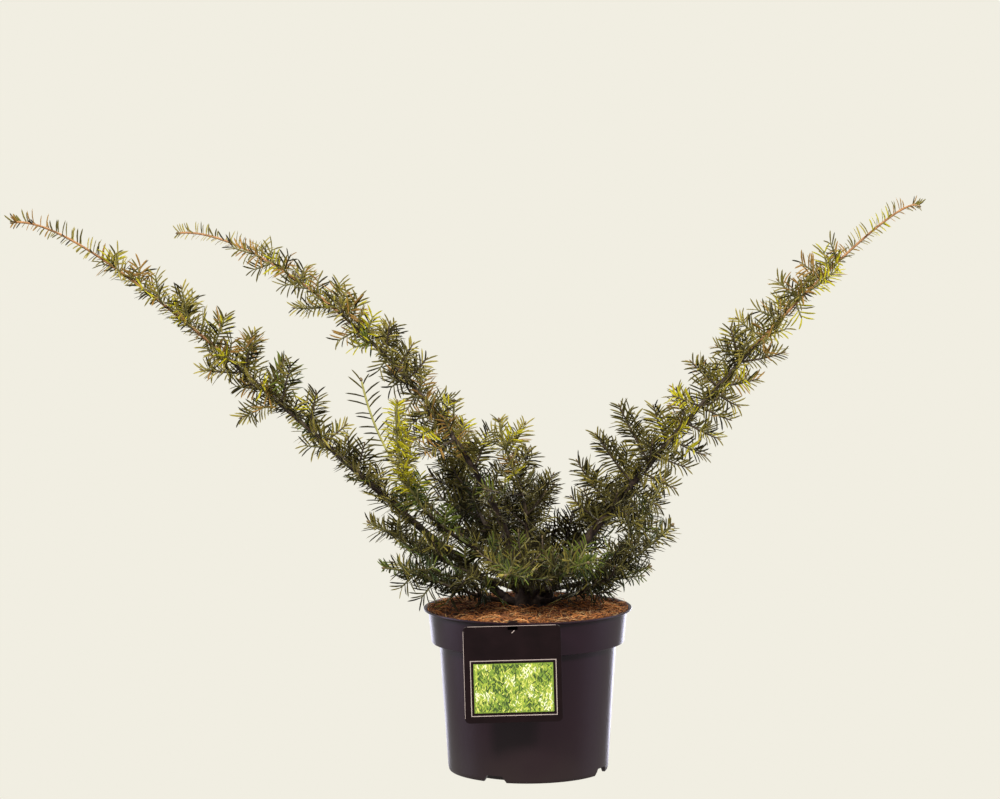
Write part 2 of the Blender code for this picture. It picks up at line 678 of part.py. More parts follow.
def placed_mesh(curve, name, parts):
    """A curve's filled shape as a closed mesh in the curve's place."""
    data = evaluated_copy(curve)
    mesh = bmesh.new()
    mesh.from_mesh(data)
    bmesh.ops.remove_doubles(mesh, verts=mesh.verts, dist=0.00001)
    bmesh.ops.transform(mesh, matrix=curve.matrix_world, verts=mesh.verts)
    bmesh.ops.recalc_face_normals(mesh, faces=mesh.faces)
    bpy.data.objects.remove(curve)
    solid = mesh_object(name, mesh)
    parts.objects.link(solid)
    return solid


# Stem, boughs and masses
def collar(name, limb, parts):
    """The stem's fork for one limb, ending square to it, a clearance short of its start."""
    start = limb_start(limb)
    bearing = math.atan2(limb.tip[1], limb.tip[0])
    along = heading(bearing, math.radians(limb.leave))
    end = start - along * CLEARANCE
    knee = end - along * COLLAR_RUN
    root = np.array([0.0, 0.0, start[2] - COLLAR_DROP])
    path = even_path(bezier((root, root * 0.4 + knee * 0.6, knee, end), 24), COLLAR_STEP)
    path = squared_path(path, knee - root, along, COLLAR_RUN / 3)
    sides = 1 if limb.habit == "leader" else 0
    solid = tube(name, path, limb.foot * np.linspace(*COLLAR_SWELL, len(path)), sides, parts)
    parts.objects.unlink(solid)
    return solid


def make_stem(parts):
    profile = [(0.0, STEM_PROFILE[0][1])] + list(STEM_PROFILE) + [(0.0, STEM_PROFILE[-1][1])]
    stem = turned("stem", profile, STEM_STEPS, parts)
    stem.data = evaluated_copy(stem)
    stem.modifiers.clear()
    union(stem, [collar("fork_" + name, limb, parts) for name, limb in LIMBS.items()])
    mesh = bmesh.new()
    mesh.from_mesh(stem.data)
    ground = SOIL_TOP + CLEARANCE
    geometry = mesh.verts[:] + mesh.edges[:] + mesh.faces[:]
    cut = bmesh.ops.bisect_plane(mesh, geom=geometry, dist=1e-7, plane_co=(0, 0, ground),
                                 plane_no=(0, 0, 1), clear_inner=True)
    rim = [item for item in cut["geom_cut"] if isinstance(item, bmesh.types.BMEdge)]
    bmesh.ops.holes_fill(mesh, edges=rim, sides=0)
    bmesh.ops.recalc_face_normals(mesh, faces=mesh.faces)
    mesh.to_mesh(stem.data)
    mesh.free()
    stem.data.materials.clear()
    stem.data.materials.append(material("old_bark", (0.085, 0.052, 0.040), 0.85))


def split_limb(limb):
    """The limb's path split into its bough and the stem of its foliage."""
    path = limb_path(limb)
    split = int(limb.bare * (len(path) - 1))
    return path, split


def make_bough(name, limb, parts):
    path, split = split_limb(limb)
    run = path[:split + 1].copy()
    run[-1] -= unit(run[-1] - run[-2]) * CLEARANCE / 2
    points = squared_path(even_path(run, BOUGH_STEP), run[1] - run[0], run[-1] - run[-2])
    radii = [limb_radius(limb, limb.bare * share) for share in np.linspace(0, 1, len(points))]
    bough = tube("bough_" + name, points, radii, 1, parts)
    bough.data.materials.append(material("bark_" + name, (0.10, 0.062, 0.045), 0.85))


def grow_all(space):
    """Boughs and stems first, then shoots, so that every mass keeps to its own space."""
    stems = {}
    for mass, (name, limb) in enumerate(LIMBS.items(), start=1):
        path, split = split_limb(limb)
        radii = [limb_radius(limb, index / len(path)) for index in range(len(path))]
        space.add_path(path[:split + 1], radii[:split + 1], -mass, 0)
        stem = path[split:].copy()
        stem[0] += unit(stem[1] - stem[0]) * CLEARANCE / 2
        space.add_path(with_bud(stem), radii[split:], mass, 0)
        stems[name] = (stem, radii[split:])
    shoots = {}
    for mass, (name, limb) in enumerate(LIMBS.items(), start=1):
        shoots[name] = grow_shoots(name, limb, stems[name][0], mass, space)
    return stems, shoots


def make_mass(name, limb, mass, stem, radii, shoots, space, parts):
    """One mass of foliage: its stem and shoots, with their needles, joined in one solid."""
    habit = HABITS[limb.habit]
    draws = np.random.RandomState(SEED + 100 + mass)
    main = ringed_twig(stem, radii, habit.ring, True)
    foliage = build_twig("foliage_" + name, main, mass, 0, space, draws)
    parts.objects.link(foliage)
    pieces = []
    for number, shoot in enumerate(shoots, start=1):
        thin = np.linspace(SHOOT_RADIUS, SHOOT_TIP_RADIUS, len(shoot))
        twig = ringed_twig(shoot, thin, habit.ring, False)
        pieces.append(build_twig(f"{name}_shoot_{number}", twig, mass, number, space, draws))
    union(foliage, pieces)
    tint = (0.12, 0.15, 0.03) if limb.habit == "dense" else (0.055, 0.085, 0.035)
    foliage.data.materials.clear()
    foliage.data.materials.append(material("needles_" + name, tint, 0.6))


def main():
    for obj in list(bpy.data.objects):
        bpy.data.objects.remove(obj)
    parts = collection(PLANT)
    cutters = collection("cutters")
    make_pot(parts, cutters)
    make_soil(parts)
    make_tag(parts)
    make_stem(parts)
    space = Space()
    stems, shoots = grow_all(space)
    for mass, (name, limb) in enumerate(LIMBS.items(), start=1):
        make_bough(name, limb, parts)
        stem, radii = stems[name]
        make_mass(name, limb, mass, stem, radii, shoots[name], space, parts)


main()
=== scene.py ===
"""Looks of the potted English yew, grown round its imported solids.

Metres, +Z up, +X to the right and +Y to the back, as in the part's own source. The limbs
and their side shoots follow the source's growth rule, written again here, and the rule is
then carried on to shorter shoots and twigs. Needles, twigs and buds are joined meshes, each
kind apart, and each tint of needle is a piece of its own.
"""
import math
from collections import namedtuple

import bmesh
import bpy
import numpy as np
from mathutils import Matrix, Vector, noise


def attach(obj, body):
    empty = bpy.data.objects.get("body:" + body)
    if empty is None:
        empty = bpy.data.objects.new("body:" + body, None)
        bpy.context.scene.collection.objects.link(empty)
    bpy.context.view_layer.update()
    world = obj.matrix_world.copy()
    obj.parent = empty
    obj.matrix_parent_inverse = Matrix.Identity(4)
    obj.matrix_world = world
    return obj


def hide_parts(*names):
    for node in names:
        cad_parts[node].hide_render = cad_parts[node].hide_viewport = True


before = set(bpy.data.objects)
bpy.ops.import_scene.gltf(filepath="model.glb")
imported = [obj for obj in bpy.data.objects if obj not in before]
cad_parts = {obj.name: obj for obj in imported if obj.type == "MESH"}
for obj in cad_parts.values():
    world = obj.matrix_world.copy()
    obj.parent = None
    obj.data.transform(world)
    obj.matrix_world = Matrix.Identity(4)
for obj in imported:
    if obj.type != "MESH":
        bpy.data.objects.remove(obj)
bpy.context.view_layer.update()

# Pot, as in the part's source
POT_HEIGHT = 0.149
POT_WALL = 0.0012
LIP_RADIUS = 0.095
LIP_DROP = 0.0014
BAND_TOP = (0.0905, 0.1455)
BAND_FOOT = (0.0878, 0.118)
BODY_TOP = (0.0805, 0.116)
BODY_FOOT = (0.0732, 0.003)
FOOT_RADIUS = 0.0724
FOOT_RING = 0.0028
FLOOR_RADIUS = 0.060
FLOOR_THICKNESS = 0.002
GUTTER_HEIGHT = 0.0085
GUTTER_SLOPE = 0.002
NOTCH_COUNT = 4
NOTCH_FIRST = math.radians(-25)
NOTCH_FOOT_WIDTH = 0.024
NOTCH_TOP_WIDTH = 0.015
NOTCH_HEIGHT = 0.006
NOTCH_DEPTH = 0.012
POT_STEPS = 160
POT_EDGE = 0.0005
EDGE_STEPS = 3
SHARP_ANGLE = math.radians(32)
INNER_RISE = 0.6

# Soil mound
SOIL_TOP = 0.150
SOIL_SHOULDER = (0.066, 0.1485)
SOIL_CROWN_RADIUS = 0.034
SOIL_EDGE = 0.1481
SOIL_ROUGHNESS = 0.0016
SOIL_SINK = 0.0004
LUMP_SCALES = ((1.0, 95, 3.1), (0.5, 310, 7.7))
SOIL_STEPS = 144
SOIL_RINGS = 46
CHIP_COUNT = 620
CHIP_SIZE = (0.0022, 0.0085)
CHIP_SPARE = 0.005
CHIP_LIFT = (0.0001, 0.0009)
CHIP_LEAN = 0.55
CHIP_DEPTH = (0.10, 0.20)
FIBRE_COUNT = 1950
FIBRE_LENGTH = (0.006, 0.030)
FIBRE_RADIUS = (0.00016, 0.00038)
FIBRE_SPARE = 0.003
FIBRE_EDGE = 0.0006
FIBRE_CURL = 2.4
FIBRE_ARCH = (0.02, 0.22)
FIBRE_LIFT = 0.0003
FIBRE_SWELLS = (0.5, 1.0, 1.0, 0.9, 0.7, 0.3)
FIBRE_TINTS = ("fibre_orange", "fibre_tan", "fibre_brown")
FIBRE_SHARES = (0.52, 0.14, 0.34)

# Plant tag
TAG_SIDE = 0.087
TAG_CORNER = 0.0045
TAG_THICKNESS = 0.0008
TAG_MIDDLE = (-0.0141, -0.0980, 0.1042)
TAG_TILT = math.radians(1.3)
HOOK_WIDTH = 0.009
HOOK_TAIL = 0.004
FRAME_SIZE = (0.0765, 0.0500)
FRAME_MIDDLE = (0.0006, -0.0124)
FRAME_LINE = 0.0007
# Width of the pale strips along the card's left and top edges: a painted highlight of its rounded edge
EDGE_HIGHLIGHT_WIDTH = 0.0004
PANEL_SIZE = (0.0705, 0.0440)
PRINT_HEIGHT = 0.00006
LEAF_COLUMNS = 40
LEAF_ROWS = 26
SLIT = ((0.0, 0.0364), (0.0014, 0.0374), (0.0026, 0.0390), (0.0021, 0.0392), (0.0009, 0.0379),
        (-0.0004, 0.0368))
PRINT_SINK = 0.0001
CARD_BEVEL = 0.006
HOOK_FOOT = 0.004
LEAF_LIMITS = (0.32, 0.43, 0.60, 0.76)
LEAF_PATCHES = 0.42
PATCH_SCALE = 75
LEAF_JITTER = 0.6
LEAF_LEANS = (math.radians(118), math.radians(62))
LEAF_TURN = 0.5
LEAF_STRETCH = 0.35
LEAF_OUTLINE = ((0.5, 0.0), (0.2, 0.42), (-0.2, 0.42), (-0.5, 0.0), (-0.2, -0.42), (0.2, -0.42))
LEAF_LENGTH = 0.0046
LEAF_WIDTH = 0.0011

# Trunk: profile of the stem as in the part's source, collars at the limbs, skin and relief
STEM_PROFILE = ((0.0058, 0.1810), (0.0078, 0.1750), (0.0096, 0.1660), (0.0112, 0.1590),
                (0.0148, 0.1535), (0.0185, 0.1460))
COLLAR_SWELL = (1.5, 1.02)
COLLAR_RUN = 0.006
COLLAR_DROP = 0.012
TRUNK_VOXEL = 0.0008
STEM_SIDES = 40
COLLAR_SIDES = 12
COLLAR_STEP = 0.0015
COLLAR_BEND = 0.6
SKIN_SMOOTHING = 4
SKIN_RIDGES = (0.00060, (300, 300, 110))
SKIN_PLATES = (0.00030, (620, 620, 620))

# Growth of the limbs and shoots, as in the part's source
CLEARANCE = 0.0003
PATH_STEP = 0.002
LIMB_TIP_RADIUS = 0.0010
LIMB_TAPER = 1.9
SHOOT_RADIUS = 0.0011
SHOOT_TIP_RADIUS = 0.0006
SHOOT_SHORTEST = 0.011
SHOOT_SHRINKS = (1.0, 0.75, 0.55)
SHOOT_CLEARANCE = 0.0042
SHOOT_ROOT = 0.012
BUD_LENGTH = 0.006
RIM_CLEARANCE = 0.0035
SEED = 6032
GOLDEN_ANGLE = math.radians(137.5)
DOWNWARD = math.radians(125)
TURNED_UP = math.radians(60)
FLAT_ANGLE = math.radians(82)
FLAT_SPREAD = math.radians(12)
ROLL_SPREAD = 0.35
PLACE_SPREAD = 0.3
SPLAY = 10
LENGTH_SPREAD = 0.22
LIFT_SPREAD = 0.15
FACING = -0.25
UPRIGHT = 0.95
UP_MEMORY = 0.8
CELL = 0.020

Limb = namedtuple("Limb", "start tip leave arrive pull foot bare habit")
Habit = namedtuple("Habit", "gap reach free spread lift flat")

# Habit: shoot spacing, longest shoot, share of the tip without shoots, spread from the
# stem in degrees, upward bend, whether the shoots lie in one flat spray
HABITS = {
    "leader": Habit(0.0240, 0.034, 0.20, 60, 0.40, False),
    "bush": Habit(0.0135, 0.040, 0.12, 56, 0.25, False),
    "flat": Habit(0.0135, 0.042, 0.10, 54, -0.05, True),
    "dense": Habit(0.0095, 0.020, 0.06, 48, 0.30, False),
    "plume": Habit(0.0400, 0.016, 0.60, 50, 0.20, False),
}

# Limb: start as (distance from the axis, height), tip, rise where it leaves and where it
# arrives in degrees, share of the chord that each end pulls, foot radius, bare share
LIMBS = {
    "left_long": Limb((0.018, 0.156), (-0.45, -0.085, 0.505), 38, -7, (0.32, 0.13), 0.0042, 0.2, "leader"),
    "left_high": Limb((0.01, 0.183), (-0.321, 0.08, 0.488), 77, -6, (0.33, 0.2), 0.0038, 0.2, "leader"),
    "right_long": Limb((0.018, 0.1595), (0.357, 0.03, 0.512), 61, -28, (0.14, 0.07), 0.0046, 0.13, "leader"),
    "golden": Limb((0.014, 0.1835), (-0.116, -0.062, 0.342), 30, 94, (0.44, 0.48), 0.0024, 0.34, "dense"),
    "sprig": Limb((0.015, 0.175), (-0.15, 0.004, 0.356), 42, 78, (0.42, 0.4), 0.0022, 0.52, "plume"),
    "left_middle": Limb((0.013, 0.179), (-0.067, 0.06, 0.331), 46, 94, (0.4, 0.4), 0.0028, 0.14, "bush"),
    "middle_gold": Limb((0.005, 0.191), (-0.025, -0.028, 0.322), 108, 78, (0.44, 0.34), 0.0026, 0.18, "bush"),
    "middle_back": Limb((0.014, 0.178), (0.004, 0.108, 0.258), 40, 50, (0.4, 0.3), 0.0024, 0.14, "bush"),
    "left_skirt_high": Limb((0.018, 0.169), (-0.141, -0.06, 0.235), 18, 26, (0.4, 0.3), 0.0024, 0.22, "bush"),
    "left_skirt_low": Limb((0.02, 0.1555), (-0.127, -0.082, 0.197), 10, 8, (0.4, 0.3), 0.0022, 0.18, "flat"),
    "front_left": Limb((0.016, 0.168), (-0.02, -0.122, 0.196), 26, 2, (0.4, 0.3), 0.0022, 0.1, "bush"),
    "front_right": Limb((0.016, 0.164), (0.052, -0.104, 0.204), 30, 14, (0.4, 0.3), 0.0022, 0.1, "bush"),
    "right_low": Limb((0.018, 0.166), (0.121, -0.042, 0.268), 6, 62, (0.46, 0.42), 0.0026, 0.16, "flat"),
    "right_skirt": Limb((0.019, 0.156), (0.127, -0.084, 0.234), 10, 40, (0.4, 0.3), 0.0022, 0.16, "flat"),
    "back_left": Limb((0.017, 0.166), (-0.082, 0.128, 0.282), 38, 55, (0.4, 0.3), 0.0026, 0.14, "bush"),
    "back_right": Limb((0.017, 0.17), (0.108, 0.13, 0.262), 30, 58, (0.4, 0.3), 0.0026, 0.14, "bush"),
    "rim_right": Limb((0.021, 0.1535), (0.112, 0.034, 0.18), 6, 12, (0.4, 0.3), 0.0018, 0.14, "flat"),
    "back_skirt": Limb((0.018, 0.158), (0.008, 0.118, 0.196), 20, 8, (0.4, 0.3), 0.002, 0.14, "flat"),
}

# Shoots that stand out on a limb: share of the whole limb, lean from +X in the front
# view in degrees, length
MARKED = {
    "left_long": ((0.83, 73, 0.013), (0.78, 95, 0.017), (0.74, 98, 0.025), (0.68, 101, 0.035),
                  (0.63, 66, 0.030), (0.60, 156, 0.023), (0.57, 76, 0.037), (0.57, 180, 0.037),
                  (0.53, 179, 0.024), (0.52, 60, 0.034), (0.50, 210, 0.034), (0.49, 75, 0.038),
                  (0.43, 77, 0.034), (0.40, 35, 0.026), (0.39, 179, 0.022), (0.33, 72, 0.026)),
    "left_high": ((0.84, 166, 0.022), (0.81, 66, 0.013), (0.80, 204, 0.018), (0.77, 65, 0.015),
                  (0.73, 197, 0.016), (0.73, 67, 0.015), (0.65, 186, 0.034), (0.63, 73, 0.022),
                  (0.60, 72, 0.024), (0.58, 214, 0.022), (0.56, 67, 0.021), (0.54, 199, 0.017),
                  (0.52, 54, 0.026), (0.50, 239, 0.015), (0.47, 55, 0.027), (0.45, 229, 0.017),
                  (0.44, 45, 0.026), (0.41, 242, 0.022), (0.38, 5, 0.024), (0.37, 226, 0.030),
                  (0.33, 215, 0.035), (0.29, 205, 0.038)),
    "right_long": ((0.82, 115, 0.020), (0.78, 150, 0.025), (0.74, 34, 0.033), (0.72, 141, 0.027),
                   (0.71, -72, 0.015), (0.67, 162, 0.025), (0.63, 13, 0.020), (0.62, 146, 0.030),
                   (0.57, 157, 0.027), (0.56, 9, 0.040), (0.50, 140, 0.034), (0.50, 7, 0.036),
                   (0.49, -35, 0.026), (0.45, 162, 0.026), (0.45, -29, 0.029), (0.44, 122, 0.038),
                   (0.41, -30, 0.033), (0.37, -30, 0.033), (0.36, 111, 0.037), (0.33, -25, 0.030),
                   (0.31, 119, 0.062), (0.29, -30, 0.032), (0.26, 128, 0.058), (0.25, -33, 0.032),
                   (0.21, -36, 0.028), (0.20, 127, 0.056), (0.17, 140, 0.036)),
    "left_skirt_low": ((0.45, 240, 0.017), (0.62, 234, 0.020), (0.78, 226, 0.018)),
}

# Finer growth: shorter shoots between the ruled ones, then twigs on the longer shoots
FINE_CLEARANCE = 0.0021
FINE_SHORTEST = 0.007
FINE_RADIUS = 0.0008
Fine = namedtuple("Fine", "gap reach")
FINE_SHOOTS = {
    "leader": Fine(0.0062, 0.019),
    "bush": Fine(0.0056, 0.026),
    "flat": Fine(0.0090, 0.024),
    "dense": Fine(0.0052, 0.016),
}
TWIG_FROM = 0.024
TWIG_GAP = 0.0065
TWIG_REACH = 0.45
TWIG_SPREAD = 46
TWIG_ROOM = 0.62
TWIG_PLACES = (0.20, 0.58)
TWIG_ANGLE = math.pi / 2 - 0.35
TWIG_ROLL = 0.3
TWIG_LONGEST = 1.25
TWIG_LIFT = 0.12
BOUGH_SHOOTS = Fine(0.0075, 0.022)
BOUGH_SHOOTS_FROM = 0.12
BOUGH_SHOOTS_SKIP = 4

# Twigs, buds and the bark of the limbs
TWIG_SIDES = 5
TWIG_STEP = 0.004
TWIG_KNOT = 1.12
BUD_STATIONS = ((0.0, 1.0), (0.30, 1.7), (0.65, 1.3), (1.0, 0.25))
BUD_RUN = 0.0038
BUD_TURN = 0.6
BUD_SHARE = 0.8
BROWN_TO = 0.5
LIMB_SIDES = {"leader": 14, "other": 10}
LIMB_POINT = 0.6
RIDGE_SCALE = 420
PLATE_SCALE = 130
PLATE_RUN = 90
RELIEF_SHARES = (0.55, 0.75)
RELIEF_STRENGTH = (0.26, 0.08)
BARK_WANDER = (0.07, 300)
OLD_BARK_TO = 0.30
BROWN_BARK_TO = {"leader": 0.60, "other": 0.55}
PLUME_BROWN_TO = 0.45

# Needles: a flat blade with a keel along its upper face, narrowed to a short stalk
NEEDLE_LENGTH = 0.0195
NEEDLE_WIDTH = 0.0018
NEEDLE_KEEL = 0.22
NEEDLE_STATIONS = ((0.0, 0.34), (0.12, 0.72), (0.50, 1.0), (0.84, 0.80))
NEEDLE_GAPS = {"shoot": 0.0023, "stem": 0.0015}
NEEDLE_SWEEP = math.radians(52)
NEEDLE_SWEEP_SPREAD = math.radians(9)
NEEDLE_CLOSING = {"shoot": math.radians(30), "stem": math.radians(20)}
NEEDLE_JITTER = {"shoot": 0.35, "stem": 0.85}
TIP_TUFT = 6
TUFT_RUN = 0.2
TUFT_CROWDING = 1.5
FEWEST_NEEDLES = 6
STEM_OPENING = math.radians(8)
STEM_THINNING = 0.3
LOW_SIDE_SHRINK = 0.34
LOW_SIDE = -0.3
FOOT_OPENING = math.radians(10)
FOOT_SHARE = 0.25
CLOSING_FROM = 0.55
NEEDLE_LIFT = (math.radians(-8), math.radians(18))
NEEDLE_TWIST = 0.38
NEEDLE_DROOP = -0.10
NEEDLE_DROOP_SPREAD = 0.09
NEEDLE_BEND = 0.17
NEEDLE_BEND_SPREAD = 0.08
NEEDLE_LENGTH_SPREAD = 0.16
NEEDLE_WIDTH_SPREAD = 0.10
NEEDLE_FACE_UP = 0.8
NEEDLE_FACE_AHEAD = {"shoot": 0.45, "stem": 0.9}
STEM_SWELL = 0.85
TIP_SWELL = 0.88
TIP_SWELL_LOSS = 0.22
ROUND_SHARE = 0.42
NEEDLES_A_PIECE = 8800
STEM_STRETCH = 10
POT_SPARE = 0.0012
BEHIND = 0.1
PLUME_FACE = (0.15, -1.0, 0.25)
SPRAY_FACE = (0.45, 0.75, 0.62)
SPRAY_FACE_SPREAD = (0.25, 0.2)

# Needle tints in order of lightness, then the ones that stand apart
TONES = ("deep", "dark", "mid", "olive", "light")
YOUNGER_AND_LIT_TINT = {"deep": "dark", "dark": "mid", "mid": "olive", "olive": "light",
           "light": "light", "golden": "golden", "bronze": "olive", "fresh": "fresh", "green": "fresh"}
OLDER = {"deep": "deep", "dark": "deep", "mid": "deep", "olive": "dark",
         "light": "mid", "golden": "olive", "bronze": "dark", "fresh": "green", "green": "dark"}
YOUNG_FROM = 0.62
YOUNG_CHANCE = 0.55
# On a leader the needles near the stem are also made a tint lighter: painted light, for the sunlit inner
# needles
LIT_NEAR_STEM = 0.35
LONG_SHOOT_PATCHES = 0.30
OLD_CHANCE = {"leader": 0.16, "other": 0.32}
TONE_SPREAD = 1.1

# Look of each mass: tone at its foot and at its tip, patches as (from, to, chance, tint)
# along the limb, then the size of its needles, of the gaps between them and of their width
Look = namedtuple("Look", "tone patches size gap width", defaults=(1.0,))
PLAIN_LOOK = Look((1.2, 2.2), ((0.0, 1.0, 0.16, "green"),), 0.80, 0.60)
# The tone rises from a limb's foot to its tip with the needles' age, and partly as painted shade inside the
# crown and painted light on the outer tips
LOOKS = {
    "left_long": Look((1.8, 3.4), ((0.0, 0.5, 0.08, "fresh"), (0.25, 0.85, 0.16, "golden"),
                                   (0.35, 0.65, 0.34, "bronze"), (0.65, 1.0, 0.46, "bronze")),
                      0.80, 0.70, 1.20),
    "left_high": Look((1.7, 3.2), ((0.05, 0.28, 0.45, "bronze"), (0.05, 0.28, 0.22, "golden"),
                                   (0.28, 0.45, 0.06, "fresh"), (0.40, 0.85, 0.16, "golden"),
                                   (0.45, 1.0, 0.40, "bronze")), 0.78, 0.70, 1.20),
    "right_long": Look((1.6, 3.6), ((0.25, 0.80, 0.24, "golden"), (0.80, 1.0, 0.12, "golden"),
                                    (0.25, 0.65, 0.30, "bronze"), (0.65, 1.0, 0.50, "bronze")),
                       0.80, 0.68, 1.15),
    "golden": Look((1.9, 3.3), ((0.42, 1.0, 0.84, "golden"), (0.25, 0.42, 0.45, "golden"),
                                (0.0, 0.42, 0.30, "fresh")), 0.68, 0.50, 1.18),
    "sprig": Look((1.0, 1.3), (), 0.95, 1.15),
    "middle_gold": Look((1.4, 2.7), ((0.80, 1.0, 0.45, "golden"), (0.40, 0.80, 0.12, "golden"),
                                     (0.60, 1.0, 0.15, "bronze"), (0.0, 0.5, 0.12, "fresh")),
                        0.78, 0.60),
    "left_middle": Look((1.5, 2.6), ((0.0, 1.0, 0.20, "green"),), 0.80, 0.58),
    "front_left": Look((1.1, 2.1), ((0.70, 1.0, 0.55, "fresh"), (0.0, 0.70, 0.15, "green")), 0.66, 0.60),
    "front_right": Look((1.1, 2.0), ((0.65, 1.0, 0.45, "fresh"), (0.0, 0.65, 0.15, "green")), 0.69, 0.60),
    "left_skirt_high": Look((1.3, 2.3), ((0.20, 0.50, 0.35, "fresh"), (0.0, 1.0, 0.30, "green")),
                            0.80, 0.62),
    "left_skirt_low": Look((1.3, 2.3), ((0.0, 1.0, 0.40, "green"),), 0.80, 0.62),
    "right_low": Look((1.2, 2.4), ((0.0, 1.0, 0.10, "green"),), 0.80, 0.80),
    "right_skirt": Look((1.1, 2.2), ((0.0, 1.0, 0.14, "green"),), 0.80, 0.94),
    "rim_right": Look((1.1, 2.2), ((0.0, 1.0, 0.14, "green"),), 0.80, 0.84),
    "middle_back": Look((1.4, 2.4), ((0.0, 1.0, 0.14, "green"),), 0.80, 0.74),
    "back_left": Look((1.4, 2.4), ((0.0, 1.0, 0.14, "green"),), 0.80, 0.70),
    "back_right": Look((1.4, 2.4), ((0.0, 1.0, 0.14, "green"),), 0.80, 0.74),
}

# Plain base colours of the needles' upper and lower faces, in linear light, and their shine
NEEDLE_SHINE = (1.0, 0.88, 0.35, 1.0)
# The near-black deep tint stands partly for the shade inside the crown, and the light tint partly for sunlit
# needles: painted shade and painted light beside the needles' own colours
NEEDLE_COLOURS = {
    "deep": ((0.0075, 0.0064, 0.0032), (0.016, 0.013, 0.010)),
    "dark": ((0.0205, 0.0180, 0.0075), (0.036, 0.030, 0.020)),
    "mid": ((0.0560, 0.0490, 0.0130), (0.070, 0.060, 0.027)),
    "olive": ((0.1250, 0.1070, 0.0230), (0.125, 0.106, 0.038)),
    "light": ((0.2400, 0.2050, 0.0440), (0.215, 0.180, 0.058)),
    "golden": ((0.3300, 0.3050, 0.0110), (0.290, 0.262, 0.018)),
    "bronze": ((0.2200, 0.1280, 0.0330), (0.200, 0.126, 0.042)),
    "fresh": ((0.0720, 0.0960, 0.0150), (0.092, 0.112, 0.028)),
    "green": ((0.0270, 0.0400, 0.0165), (0.042, 0.054, 0.028)),
}

# Bark and young wood: colours by place in the old bark's grain, then for each finish its
# colour, depth, scale, roughness and relief
# The old bark's colours are its own, darkened further as painted shade of the crown's shaded foot
OLD_BARK_AND_SHADE_RAMP = ((0.28, (0.007, 0.004, 0.004)), (0.46, (0.017, 0.010, 0.008)),
                 (0.62, (0.036, 0.022, 0.015)), (0.80, (0.080, 0.052, 0.033)))
WOOD_FINISHES = {
    "bark_brown": ((0.046, 0.030, 0.017), 0.45, 260, (0.60, 0.80), (0.5, 0.0004)),
    "wood_orange": ((0.300, 0.145, 0.052), 0.30, 240, (0.45, 0.62), (0.4, 0.0003)),
    "wood_green": ((0.120, 0.112, 0.030), 0.28, 220, (0.42, 0.58), (0.4, 0.0003)),
    "wood_pale": ((0.300, 0.290, 0.080), 0.20, 220, (0.42, 0.58), (0.4, 0.0003)),
    "bud_scales": ((0.130, 0.090, 0.034), 0.30, 300, (0.50, 0.66), (0.4, 0.0003)),
}

# Colours of the pot by height, of the soil by its grain, of the litter and of the print
POT_RAMP = ((0.20, (0.023, 0.014, 0.015)), (0.60, (0.016, 0.0055, 0.0105)),
            (1.00, (0.015, 0.0048, 0.0115)))
POT_CLOUD = 0.5
POT_SHEEN = (0.62, 0.52, 0.95, 1.0)
SOIL_RAMP = ((0.34, (0.010, 0.005, 0.004)), (0.48, (0.060, 0.024, 0.012)),
             (0.60, (0.190, 0.074, 0.028)), (0.74, (0.360, 0.170, 0.070)))
LITTER_COLOURS = {"chip_brown": (0.115, 0.048, 0.022), "chip_dark": (0.030, 0.015, 0.010),
                  "fibre_orange": (0.480, 0.190, 0.060), "fibre_tan": (0.600, 0.370, 0.165),
                  "fibre_brown": (0.150, 0.058, 0.026)}
CARD_COLOUR = (0.008, 0.0035, 0.0045)
# Pale colour of the printed frame line and slit, and of the painted highlight strips on the card's left and
# top edges
LINE_AND_HIGHLIGHT_COLOUR = (0.420, 0.350, 0.330)
PRINT_COLOURS = {"print_dark": (0.045, 0.085, 0.018), "print_green": (0.190, 0.300, 0.040),
                 "print_lime": (0.380, 0.480, 0.060), "print_yellow": (0.620, 0.660, 0.150),
                 "print_cream": (0.780, 0.820, 0.540)}

# Stage, camera and lights
CREAM = (0.879, 0.855, 0.760)
CAMERA_PLACE = (-0.0230, -3.0, 0.6203)
CAMERA_PITCH = 0.09347
CAMERA_ROLL = 0.00469
FOCAL_PIXELS = 3319.3
PHOTO_WIDTH = 1000
SENSOR = 36.0
LIGHTS = {
    "left_key": ((-1.5, -1.9, 2.3), (0.6, 0.6), 105, (1.0, 0.95, 0.86)),
    "right_key": ((1.7, -1.7, 2.1), (0.6, 0.6), 90, (1.0, 0.95, 0.86)),
    "left_edge": ((-0.38, 1.05, 0.02), (0.34, 0.5), 2.0, (0.80, 0.80, 1.0)),
    "right_edge": ((0.38, 1.05, 0.02), (0.34, 0.5), 3.2, (0.80, 0.80, 1.0)),
    "left_side_edge": ((-1.30, 0.10, 0.25), (0.7, 0.9), 8.0, (0.78, 0.70, 1.0)),
    "right_side_edge": ((1.30, 0.10, 0.25), (0.7, 0.9), 5.0, (0.78, 0.70, 1.0)),
    "back": ((0.3, 1.9, 2.2), (1.0, 1.0), 45, (1.0, 0.98, 0.95)),
}
AMBIENT = (1.0, 0.97, 0.92)
AMBIENT_STRENGTH = 0.46
AIM = Vector((-0.02, 0.0, 0.28))
FLOOR_SIZE = 30.0
BACKDROP_SIZE = 40.0
ROUND_SIDES = 96
FLOOR_DEPTH = 0.02
DOME_RISES = (-84, 85, 6)
CLIP_END = 60.0


# Vectors and paths
def unit(vector):
    return vector / max(np.linalg.norm(vector), 1e-12)


def units(vectors):
    return vectors / np.maximum(np.linalg.norm(vectors, axis=-1, keepdims=True), 1e-12)


def heading(bearing, rise):
    """Direction with a compass bearing from +X and a rise above level, in radians."""
    level = math.cos(rise)
    return np.array([level * math.cos(bearing), level * math.sin(bearing), math.sin(rise)])


